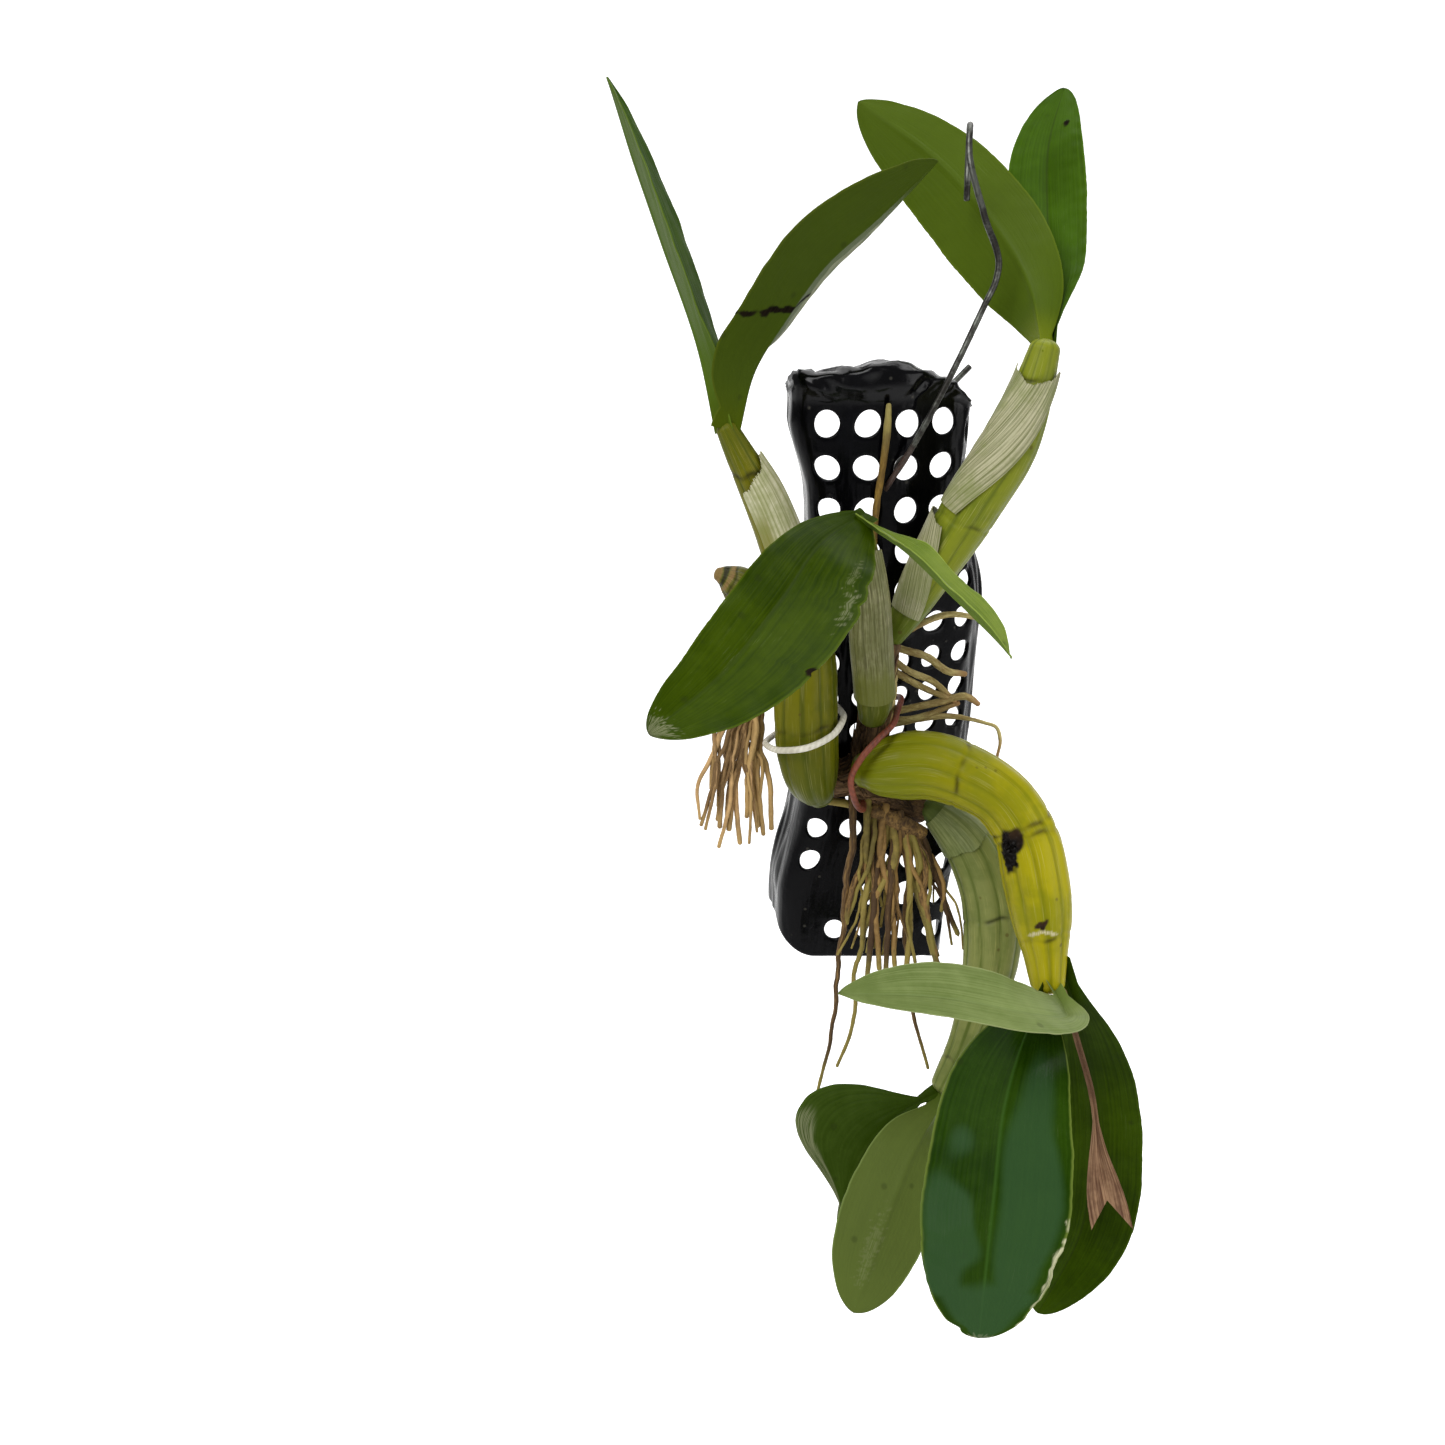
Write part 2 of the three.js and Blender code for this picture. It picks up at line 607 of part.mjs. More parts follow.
const FLOWER_SHEATH = {
  rows: [[62, -30, -417], [71, -31, -447], [79, -33, -473], [85, -37, -511], [91, -45, -545]],
  faces: [[-0.5, -0.8, 0], [-0.3, -0.9, 0.1]], halves: [11, 11], fold: [40, 18], foot: 0.2, belly: 0.97, tip: 0,
  flare: 14, least: 0.14, thickness: 1.6, steps: 8, fork: 14,
};

// Roots fused with a crown: strands leave the crown at even steps and fan out to the line of their ends.
function rootBunch({ crown, ends, count, radius, seed, sag, first = 0, more = [] }) {
  const random = dice(seed);
  const from = curveThrough(crown);
  const to = curveThrough(ends);
  let body = stem(crown, { sides: 6, steps: 4 });
  for (let i = 0; i < count; i += 1) {
    const share = (i + 0.5) / count;
    const start = from.at(mix(first, 1, share));
    const end = to.at(Math.min(1, Math.max(0, share + (random() - 0.5) * 0.3)));
    const reach = 1 - 0.34 * random();
    const stop = start.map((value, k) => (k < 3 ? mix(value, end[k], reach) : radius * 0.6));
    const rows = [0, 0.33, 0.68, 1].map((t) => {
      const stray = t > 0 && t < 1 ? 7 : 0;
      return [
        mix(start[0], stop[0], t) + (random() - 0.5) * stray + sag[0] * t * (1 - t),
        mix(start[1], stop[1], t) + (random() - 0.5) * stray + sag[1] * t * (1 - t),
        mix(start[2], stop[2], t) + (random() - 0.5) * stray + sag[2] * t * (1 - t),
        mix(radius, radius * 0.72, t) * (0.9 + 0.2 * random()),
      ];
    });
    body = body.add(stem(rows, { sides: 4, steps: 4, blunt: false }));
  }
  more.forEach((rows) => {
    body = body.add(stem(rows, { sides: 4, steps: rows.length, blunt: false }));
  });
  return body;
}

const ROOTS_LEFT = {
  crown: [[-82, 29, -262, 5.5], [-93, 21, -267, 5], [-106, 14, -269, 4]],
  ends: [[-88, 14, -352], [-103, 8, -354], [-116, 4, -352], [-128, 0, -343]],
  count: 10, radius: 1.9, seed: 11, sag: [-10, -6, 10], first: 0.42,
  more: [[[-106, 14, -269, 2], [-118, 6, -296, 1.4], [-128, 1, -318, 1], [-127, 0, -334, 0.8]]],
};
const ROOTS_CENTRE = {
  crown: [[-31, 27, -338, 4.6], [-15, 25, -345, 4.8], [-4, 25, -350, 4]],
  ends: [[-52, 9, -418], [-28, 2, -430], [0, 4, -428], [20, 14, -416]],
  count: 12, radius: 2.1, seed: 5, sag: [0, -8, 2],
  more: [
    [[-56, 30, -333, 2], [-44, 29, -334, 2.4], [-24, 26, -341, 3]],
    [[-43.2, 29, -329.2, 2.2], [-43, 22, -347.2, 2], [-44.7, 18, -363.2, 1.9], [-47.3, 16, -379.9, 1.8],
      [-48.2, 14, -397.9, 1.6], [-50.6, 11, -428.1, 1.4], [-53.6, 8, -459.8, 1.2], [-61.1, 5, -495.1, 0.9]],
    [[-34.4, 28, -330, 2.2], [-36.1, 18, -357.4, 1.9], [-32.4, 14, -387.9, 1.7], [-39.7, 12, -416.6, 1.4],
      [-43.3, 9, -463.4, 1.1], [-50.4, 7, -481.4, 0.9]],
    [[-24.6, 26, -334, 2.2], [-28.5, 17, -357.1, 1.9], [-21.8, 12, -384.2, 1.6], [-25.8, 9, -411.1, 1.2]],
    [[-16.9, 25, -337.8, 2.1], [-12.4, 18, -374.8, 1.8], [-12.7, 14, -414.5, 1.5],
      [-7.6, 10, -451.7, 1.1], [0.7, 6, -482.1, 0.9]],
  ],
};
const ROOTS_RIGHT = [
  [[-25, 20.6, -246, 3.8], [-25.3, 22.6, -266, 4.2], [-26.5, 24, -286, 4]],
  [[-26.6, 21.5, -241.7, 2], [-21.3, 19, -238.7, 2], [-11.3, 17, -232.6, 1.9], [1.5, 16.3, -227.8, 1.7],
    [24.8, 14.8, -230.3, 1]],
  [[-26.5, 21.5, -244.4, 2], [-20.9, 19.5, -246.2, 2], [-7.7, 18.5, -249.8, 2], [6, 19, -258.5, 1.9],
    [14.3, 20, -259.7, 1.5]],
  [[-26.2, 22, -250.9, 2], [-16.8, 19.5, -257.5, 1.9], [-1.7, 19, -264.4, 1.8], [8.5, 20, -273.8, 1.5]],
  [[-26, 22, -256.8, 1.9], [-9.8, 18.5, -266, 1.8], [9.2, 18.5, -274.1, 1.4]],
  [[-25.1, 23, -281, 2], [-16.9, 21, -279, 2], [1.4, 19, -274.7, 2], [16, 18, -271.8, 1.9],
    [21.4, 17.5, -275.5, 1.5]],
  [[-25, 23, -285.4, 1.7], [-11.4, 20.5, -283.8, 1.7], [11.1, 19.5, -275.4, 1.4]],
  [[-24.9, 23, -288.2, 1.8], [-8.6, 21, -284.4, 1.8], [4.6, 20, -282.6, 1.7], [15.1, 19, -283.5, 1.3],
    [25.6, 17.5, -285.9, 1], [31.3, 16, -287.8, 1], [33.3, 14, -294.4, 0.9], [31.9, 13, -303.5, 0.8]],
];
const ROOT_UP = [
  [-31, 21, -268, 2.2], [-36, 16, -240, 2.1], [-38, 9, -205, 2], [-38, 1, -170, 2], [-36, -4, -150, 2],
  [-35, -8, -130, 2], [-35, -9, -124, 1.4],
];

// Papery sheaths on their bulbs.
const SHEATHS = {
  left: { bulb: 'left', from: 0.5, to: 0.93, point: 0.06, middle: 66, half: 118, offset: 1.6, flare: 1 },
  centre: { bulb: 'centre', from: 0.12, to: 0.93, point: 0.14, middle: 10, half: 150, offset: 1.7 },
  right_lower: {
    bulb: 'right', from: 0.1, to: 0.45, point: 0.02, middle: -92, half: 55, offset: 1.4, flare: 1.6, slant: -72,
  },
  right_upper: {
    bulb: 'right', from: 0.47, to: 0.91, point: -0.05, middle: -15, half: 85, offset: 1.9, flare: 0.6, slant: 100,
  },
  green: { bulb: 'green', from: 0.02, to: 0.2, point: 0.06, middle: 0, half: 140, offset: 1.4, flare: 0.3 },
};

// Ties bear on the back of the shell between the two holes that they pass through.
const TIE_RADIUS = 1.7;
const TIE_DEPTH = SHEET_THICKNESS + TIE_RADIUS + 0.45;
const TIE_WHITE = [
  atHole(1, 7, 0), [-51.9, 14.4, -279], [-52.4, 0, -280], [-59.6, -13.6, -286], [-72, -18.2, -291],
  [-85.5, -11.5, -294], [-91.7, 4, -295], [-89.7, 24, -296], atHole(0, 8, 0), atHole(0.12, 7.88, 4.6),
  atHole(0.5, 7.5, TIE_DEPTH), atHole(0.88, 7.12, 4.6),
];
const TIE_BROWN = [
  atHole(3, 7, 0), [-22, 16, -280], [-26, 4, -284], [-35, -3.8, -290.5], [-43, -4.8, -299.8],
  [-47.7, -1.4, -312.2], [-44.5, 1.6, -325.8], [-39, 14, -333], [-37, 30, -331.6], atHole(2, 9, 0),
  atHole(2.06, 8.88, 4.6), atHole(2.5, 8, TIE_DEPTH), atHole(2.94, 7.12, 4.6),
];

const bulb = (rows, grow = 0) => stem(rows, {
  sides: BULB_SIDES, steps: 8, ridges: BULB_RIDGES, ridge: 0.035, ends: [0.7, 0.7], grow,
});
const wire = (grow = 0) => stem(WIRE_ROWS, { sides: 6, steps: 48, ends: [0.3, 0.3], grow });

const cutBy = (body, others) => others.reduce((left, other) => left.subtract(other), body);

// The largest body that a cut leaves; loose scraps are dropped.
const largest = (body) => body.decompose().reduce((best, one) => (one.volume() > best.volume() ? one : best));

const root = new THREE.Group();
root.name = 'cowhorn_orchid';

function node(name, manifold, colour, roughness = 0.6) {
  const made = manifold.getMesh();
  const geometry = new THREE.BufferGeometry();
  geometry.setAttribute('position', new THREE.BufferAttribute(new Float32Array(made.vertProperties), 3));
  geometry.setIndex(new THREE.BufferAttribute(new Uint32Array(made.triVerts), 1));
  geometry.computeVertexNormals();
  const mesh = new THREE.Mesh(geometry, new THREE.MeshStandardMaterial({ color: colour, roughness }));
  mesh.name = name;
  root.add(mesh);
}

const bulbGrown = Object.fromEntries(Object.entries(BULBS).map(([name, rows]) => [name, bulb(rows, FIT)]));
bulbGrown.stub = stem(BULBS.stub, { sides: 8, steps: 9, grow: FIT });
const allBulbs = Object.values(bulbGrown);
const ties = [loop(TIE_WHITE, TIE_RADIUS, FIT), loop(TIE_BROWN, TIE_RADIUS, FIT)];

node('mount_shell', shell().subtract(wire(FIT)), 0x111113, 0.25);
node('hanger_wire', wire(), 0x77776f, 0.5);

const rhizome = (grow) => stem(RHIZOME_ROWS, { sides: 8, steps: 7, grow })
  .add(stem(RHIZOME_ARM, { sides: 8, steps: 4, grow }));
node('rhizome', cutBy(rhizome(0), [...allBulbs, ...ties]), 0x4a3a24, 0.95);

node('bulb_left', bulb(BULBS.left), 0x6f7208);
node('bulb_centre', bulb(BULBS.centre), 0x5a5e10);
node('bulb_right', bulb(BULBS.right), 0x66700e);
node('bulb_yellow', bulb(BULBS.yellow), 0x8e8708);
node('bulb_green', bulb(BULBS.green), 0x5c6430);
node('bulb_stub', stem(BULBS.stub, { sides: 8, steps: 9 }), 0x796a39);

// A later leaf is cut back where the earlier ones sit on the same neck.
const LEAF_PLAN = [
  ['left_narrow', 'left', GREEN], ['left_arched', 'left', GREEN],
  ['right_broad', 'right', 0x4d6410], ['right_back', 'right', 0x456a06],
  ['centre_broad', 'centre', 0x37510a], ['centre_narrow', 'centre', 0x64842a],
  ['low_right', 'yellow', 0x3a5208], ['low_front', 'yellow', 0x2c4a14], ['low_pale', 'yellow', 0x7a8c56],
  ['green_left', 'green', 0x3c5518], ['green_under', 'green', 0x5f7038],
];
LEAF_PLAN.forEach(([name, onBulb, colour], number) => {
  const earlier = LEAF_PLAN.slice(0, number).filter((other) => other[1] === onBulb);
  const others = [bulbGrown[onBulb], ...earlier.map((other) => blade(LEAVES[other[0]], FIT))];
  node(`leaf_${name}`, largest(cutBy(blade(LEAVES[name]), others)), colour, 0.35);
});

const clear = [rhizome(FIT), ...allBulbs, ...ties];
Object.entries(SHEATHS).forEach(([name, patch]) => {
  const others = Object.keys(BULBS).filter((other) => other !== patch.bulb).map((other) => bulbGrown[other]);
  node(`sheath_${name}`, largest(cutBy(sheath(BULBS[patch.bulb], patch), [rhizome(FIT), ...others])), 0xa8a184, 0.85);
});
const lowLeaves = ['low_right', 'low_front', 'low_pale'].map((name) => blade(LEAVES[name], FIT));
node('flower_sheath', largest(cutBy(blade(FLOWER_SHEATH), [bulbGrown.yellow, ...lowLeaves])), 0x7a5638, 0.8);

node('roots_left', cutBy(rootBunch(ROOTS_LEFT), clear), 0x69553a, 0.9);
node('roots_centre', cutBy(rootBunch(ROOTS_CENTRE), [...clear, sheath(BULBS.green, SHEATHS.green, FIT)]), 0x71592f, 0.9);
const rightRoots = ROOTS_RIGHT.map((rows) => stem(rows, { sides: 4, steps: rows.length + 1, blunt: false }));
node('roots_right', cutBy(rightRoots.reduce((all, one) => all.add(one)), clear), 0x8a8048, 0.85);
node('root_up', cutBy(stem(ROOT_UP, { sides: 4, steps: 9, blunt: false }), clear), 0x7d6a2e, 0.85);

node('tie_white', loop(TIE_WHITE, TIE_RADIUS), 0xb9b4a0, 0.6);
node('tie_brown', loop(TIE_BROWN, TIE_RADIUS), 0x6e3322, 0.6);

export default root;
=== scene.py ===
"""A cowhorn orchid tied to a hanging half shell of perforated black plastic.

Shapes are worked out in millimetres in the part's own frame and stored in metres: Z is up, the viewer stands
on the -Y side and the origin is the inner crown of the wire hook.
"""
import logging
import math
from dataclasses import dataclass, replace
from enum import Enum
from typing import Callable, Optional, Sequence, Union

import bpy
import numpy as np
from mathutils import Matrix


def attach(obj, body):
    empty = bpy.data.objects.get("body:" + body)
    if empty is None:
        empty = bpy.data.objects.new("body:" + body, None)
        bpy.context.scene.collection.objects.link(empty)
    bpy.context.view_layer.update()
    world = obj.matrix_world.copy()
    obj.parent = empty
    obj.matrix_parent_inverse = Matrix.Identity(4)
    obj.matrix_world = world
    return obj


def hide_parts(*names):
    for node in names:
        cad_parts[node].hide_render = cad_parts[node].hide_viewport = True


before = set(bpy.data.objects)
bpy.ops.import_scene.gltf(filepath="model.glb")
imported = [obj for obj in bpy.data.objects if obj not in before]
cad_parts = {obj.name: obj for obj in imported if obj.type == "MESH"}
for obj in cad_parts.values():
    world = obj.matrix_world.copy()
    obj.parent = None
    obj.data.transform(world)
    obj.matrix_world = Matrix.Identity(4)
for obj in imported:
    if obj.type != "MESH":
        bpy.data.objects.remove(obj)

log = logging.getLogger("orchid")
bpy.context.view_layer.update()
Array = np.ndarray
Socket = bpy.types.NodeSocket
MM = 0.001
TURN = 2 * math.pi
FRONT = (0, -1, 0.01)
Rows = Sequence[Sequence[float]]
Rgb = tuple[float, float, float]
Shade = tuple[int, int, int]
Feed = Union[float, Rgb, Socket]


# Numbers


def smooth(low: float, high: float, x: Array) -> Array:
    """Ease from 0 at low to 1 at high: three t squared less two t cubed."""
    t = np.clip((np.asarray(x, float) - low) / (high - low), 0, 1)
    return t * t * (3 - 2 * t)


def unit(v: Array) -> Array:
    """Vectors at length one."""
    return v / np.linalg.norm(v, axis=-1, keepdims=True)


def grid(*axes: Array) -> Array:
    """Arrays spread to one shape and stacked as the last axis."""
    return np.stack(np.broadcast_arrays(*axes), axis=-1)


def ripple(places: Array, size: float, seed: int) -> Array:
    """Soft bumps in about -1..1: the scaled mean of sine waves in seeded directions.

    Args:
        places: places or pattern coordinates, last axis 3 long.
        size: mean wave length, in the unit of places.
        seed: which bumps.

    Returns:
        One height for each place.
    """
    waves = 9
    rng = np.random.default_rng(seed)
    heading = unit(rng.normal(size=(waves, 3))) * rng.uniform(0.65, 1.5, (waves, 1))
    turn = rng.uniform(0, TURN, waves)
    gain = 1.7
    return np.sin(places @ heading.T * (TURN / size) + turn).mean(axis=-1) * gain


def dice(seed: int, count: int) -> Array:
    """Repeatable numbers in 0..1 from a linear congruence, the same series as the solids use."""
    factor, step, span = 1664525, 1013904223, 2**32
    state, drawn = seed, []
    for _ in range(count):
        state = (state * factor + step) % span
        drawn.append(state / span)
    return np.array(drawn)


class Path:
    """Smooth curve through rows of numbers whose first three are a place, with knots spaced by distance."""

    def __init__(self, rows: Rows) -> None:
        """Work out knots and slopes; a slope is the mean of two chords, weighted by each other's length."""
        self.rows = np.asarray(rows, float)
        gap = np.linalg.norm(np.diff(self.rows[:, :3], axis=0), axis=1)
        self.knots = np.concatenate([[0], np.cumsum(gap)])
        chord = np.diff(self.rows, axis=0) / gap[:, None]
        before, after = gap[:-1, None], gap[1:, None]
        middle = (chord[1:] * before + chord[:-1] * after) / (before + after)
        self.slopes = np.concatenate([chord[:1], middle, chord[-1:]])

    @property
    def length(self) -> float:
        """Length along the knots in millimetres."""
        return float(self.knots[-1])

    def at(self, share: Array) -> Array:
        """A cubic between two knots with the knots' values and slopes.

        Args:
            share: shares of the length.

        Returns:
            One row for each share.
        """
        place = np.clip(share, 0, 1) * self.knots[-1]
        i = np.clip(np.searchsorted(self.knots, place) - 1, 0, len(self.rows) - 2)
        span = (self.knots[i + 1] - self.knots[i])[..., None]
        t = ((place - self.knots[i])[..., None]) / span
        return (
            (2 * t**3 - 3 * t**2 + 1) * self.rows[i]
            + (t**3 - 2 * t**2 + t) * span * self.slopes[i]
            + (3 * t**2 - 2 * t**3) * self.rows[i + 1]
            + (t**3 - t**2) * span * self.slopes[i + 1]
        )

    def frames(self, share: Array, hint: Sequence[float]) -> tuple[Array, ...]:
        """Rows, directions, side vectors and cross vectors along the curve.

        Args:
            share: rising shares of the length.
            hint: where the first side vector points; it is then carried along without twist.

        Returns:
            Four arrays, one row for each share.
        """
        step = 0.004
        rows = self.at(share)
        ahead = unit(self.at(share + step)[:, :3] - self.at(share - step)[:, :3])
        side, carried = [], np.asarray(hint, float)
        for direction in ahead:
            carried = unit(carried - carried.dot(direction) * direction)
            side.append(carried)
        side = np.array(side)
        return rows, ahead, side, np.cross(ahead, side)


# Marks that age and weather leave


class Mark(Enum):
    """Masks that a mesh carries for its material to read."""

    UNDER = "under"
    BURN = "burn"
    PALE = "pale"
    WET_SHEEN = "wet_sheen"
    GROOVE = "groove"
    TONE = "tone"


Masks = dict[Mark, Array]
Swell = Callable[[Array, Array, Array], Array]
Marking = Callable[[Array, Array, Array], Masks]


@dataclass(frozen=True)
class Blemish:
    """One spot on a surface, in the surface's own two coordinates.

    Along and across say where it lies, long and wide how far it reaches each way. Ragged says how rough its
    edge is, grain how coarse, power how strong it is, and slant how far it runs along for each step across.
    """

    mark: Mark
    along: float
    across: float
    long: float
    wide: float
    ragged: float = 0.35
    grain: float = 5.0
    power: float = 1.0
    slant: float = 0.0

    def cover(self, along: Array, across: Array, places: Array) -> Array:
        """Strength over the surface: full inside a slanted ellipse with a rippled edge, zero outside.

        Args:
            along: the surface's first coordinate.
            across: the surface's second coordinate.
            places: places or pattern coordinates for the ripples.

        Returns:
            Values in 0..power.
        """
        middle = self.along + self.slant * (across - self.across)
        reach = np.hypot((along - middle) / self.long, (across - self.across) / self.wide)
        seed = int(abs(self.along * 977 + self.across * 431)) + 3
        reach = reach + self.ragged * ripple(places, self.grain, seed)
        return self.power * (1 - smooth(0.75, 1.1, reach))


def lay(found: Masks, mark: Mark, cover: Array) -> None:
    """Add a cover to a mask; where they meet, the stronger one counts."""
    found[mark] = np.clip(np.maximum(found.get(mark, 0), cover), 0, 1)


def knobs(*layers: tuple[float, float, int]) -> Swell:
    """The swell of an uneven stem: layers of bumps by height, size in millimetres and seed."""
    def swell(share: Array, angle: Array, places: Array) -> Array:
        """The sum of the layers."""
        return sum(height * ripple(places, size, seed) for height, size, seed in layers)

    return swell


# Meshes


def cells(numbers: Array, flip: bool = False) -> Array:
    """The four corners of each cell between neighbours of a grid; flip turns their order round."""
    corners = [numbers[:-1, :-1], numbers[:-1, 1:], numbers[1:, 1:], numbers[1:, :-1]]
    if flip:
        corners.reverse()
    return np.stack([corner.reshape(-1, *numbers.shape[2:]) for corner in corners], axis=1)


class Surface:
    """Grids of places joined into one closed mesh, with pattern coordinates and masks for its material."""

    def __init__(self) -> None:
        """Start with nothing."""
        self.places: list[Array] = []
        self.masks: dict[str, list[Array]] = {mark.value: [] for mark in Mark}
        self.faces: list[tuple[Array, Array]] = []
        self.count = 0

    def add(self, places: Array, masks: Masks) -> Array:
        """Store places and their masks.

        Args:
            places: an array of places.
            masks: a value, or one value for each place, for each mark that isn't zero.

        Returns:
            The places' numbers, in the shape of the array.
        """
        shape = places.shape[:-1]
        size = int(np.prod(shape))
        index = np.arange(self.count, self.count + size).reshape(shape)
        self.places.append(places.reshape(-1, 3))
        for mark in Mark:
            value = np.broadcast_to(masks.get(mark, 0.0), shape)
            self.masks[mark.value].append(value.reshape(-1))
        self.count += size
        return index

    def quads(self, index: Array, uv: Array, wrap: bool = False, flip: bool = False) -> None:
        """Faces between a grid's neighbours; a grid that wraps has one more column in its uv."""
        if wrap:
            index = np.concatenate([index, index[:, :1]], axis=1)
        self.faces.append((cells(index, flip), cells(uv, flip)))

    def fan(self, ring: Array, pole: int, uv: Array, flip: bool) -> None:
        """Triangles from a ring to one pole.

        Args:
            ring: numbers of the ring's places.
            pole: number of the pole.
            uv: pattern coordinates, one more than the ring has places.
            flip: whether the faces look the other way.
        """
        following = np.roll(ring, -1)
        poles = np.full_like(ring, pole)
        first, last = uv[:-1], uv[1:]
        corners = [poles, following, ring] if flip else [poles, ring, following]
        coords = [(first + last) / 2, last, first] if flip else [(first + last) / 2, first, last]
        self.faces.append((np.stack(corners, axis=1), np.stack(coords, axis=1)))

    def slab(
        self,
        outer: Array,
        inner: Array,
        uv: Array,
        masks: Masks,
        inner_masks: Optional[Masks] = None,
        flip: bool = False,
    ) -> None:
        """Two grids of places closed along all four borders.

        Args:
            outer: places of the outer face.
            inner: places of the inner face.
            uv: pattern coordinates that both faces share.
            masks: masks of the outer face.
            inner_masks: masks of the inner face, or None for the same.
            flip: whether the outer face looks the other way.
        """
        out = self.add(outer, masks)
        back = self.add(inner, masks if inner_masks is None else inner_masks)
        self.quads(out, uv, flip=flip)
        self.quads(back, uv, flip=not flip)
        whole = slice(None)
        for line, turned in (
            ((whole, 0), True), ((whole, -1), False), ((0, whole), False), ((-1, whole), True)
        ):
            edge = np.stack([out[line], back[line]], axis=1)
            self.quads(edge, np.stack([uv[line], uv[line]], axis=1), flip=turned == flip)

    def tube(
        self,
        path: Path,
        steps: int,
        sides: int,
        ends: tuple[float, float] = (0.6, 0.6),
        caps: int = 3,
        swell: Optional[Swell] = None,
        masks: Optional[Marking] = None,
    ) -> None:
        """Round stem with domed ends.

        A ring at each share of the path has the path's radius times one plus the swell; the end rings
        step out by the sine and shrink by the cosine of a quarter turn. Angle zero looks to the front.

        Args:
            path: rows of x, y, z and radius.
            steps: rings along the path.
            sides: places around a ring.
            ends: height of each domed end, as a share of its radius.
            caps: rings in each domed end.
            swell: share of the radius to add, from share, angle and place.
            masks: masks from share, angle and place.
        """
        turns = np.linspace(math.pi / 2, 0, caps + 1)[1:-1]
        share = np.concatenate([np.zeros(len(turns)), np.linspace(0, 1, steps + 1), np.ones(len(turns))])
        rise = np.concatenate([-np.sin(turns) * ends[0], np.zeros(steps + 1), np.sin(turns[::-1]) * ends[1]])
        shrink = np.concatenate([np.cos(turns), np.ones(steps + 1), np.cos(turns[::-1])])
        rows, ahead, side, cross = path.frames(share, FRONT)
        angle = np.linspace(0, TURN, sides, endpoint=False)
        centre = rows[:, :3] + ahead * (rise * rows[:, 3])[:, None]
        out = side[:, None] * np.cos(angle)[None, :, None] + cross[:, None] * np.sin(angle)[None, :, None]
        grid_share = np.repeat(share[:, None], sides, axis=1)
        grid_angle = np.repeat(angle[None], len(share), axis=0)
        radius = (rows[:, 3] * shrink)[:, None] * np.ones(sides)
        places = centre[:, None] + out * radius[..., None]
        if swell is not None:
            radius = radius * (1 + swell(grid_share, grid_angle, places))
            places = centre[:, None] + out * radius[..., None]
        marked = masks(grid_share, grid_angle, places) if masks is not None else {}
        index = self.add(places, marked)
        uv = grid(np.linspace(0, 1, sides + 1)[None], share[:, None])
        self.quads(index, uv, wrap=True)
        for end, flip, offset in ((0, True, -ends[0]), (-1, False, ends[1])):
            tip = rows[end, :3] + ahead[end] * offset * rows[end, 3]
            mean = {mark: np.mean(np.broadcast_to(v, grid_share.shape)[end]) for mark, v in marked.items()}
            pole = self.add(tip[None], mean)
            self.fan(index[end], int(pole[0]), uv[end], flip)

    def build(self, name: str, finish: "Finish", node: str) -> None:
        """Make the object at the origin, dress it and tell the frame what it stands for.

        Args:
            name: the piece's name.
            finish: its material.
            node: the solid that it replaces.
        """
        places = np.concatenate(self.places) * MM
        mesh = bpy.data.meshes.new(name)
        mesh.vertices.add(len(places))
        mesh.vertices.foreach_set("co", places.astype(np.float32).ravel())
        loops = np.concatenate([corners.ravel() for corners, _ in self.faces])
        uv = np.concatenate([coords.reshape(-1, 2) for _, coords in self.faces])
        sizes = np.concatenate([np.full(len(corners), corners.shape[1]) for corners, _ in self.faces])
        mesh.loops.add(len(loops))
        mesh.loops.foreach_set("vertex_index", loops.astype(np.int32))
        mesh.polygons.add(len(sizes))
        starts = np.concatenate([[0], np.cumsum(sizes)[:-1]])
        mesh.polygons.foreach_set("loop_start", starts.astype(np.int32))
        mesh.update(calc_edges=True)
        layer = mesh.uv_layers.new(name="place")
        layer.uv.foreach_set("vector", uv.astype(np.float32).ravel())
        for mark, parts in self.masks.items():
            values = np.concatenate(parts).astype(np.float32)
            if values.any():
                mesh.attributes.new(mark, "FLOAT", "POINT").data.foreach_set("value", values)
        mesh.validate()
        mesh.polygons.foreach_set("use_smooth", np.ones(len(mesh.polygons), bool))
        mesh.set_sharp_from_angle(angle=math.radians(60))
        piece = bpy.data.objects.new(name, mesh)
        bpy.context.collection.objects.link(piece)
        mesh.materials.append(finish.material())
        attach(piece, "root")
        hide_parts(node)
        log.info("%s: %d faces, stands for %s", name, len(mesh.polygons), node)


# Shader wiring


class Effect(Enum):
    """Shader effects that several materials share."""

    STREAKS = "long_streaks"
    CLOUDS = "soft_clouds"
    SPECKS = "fine_specks"


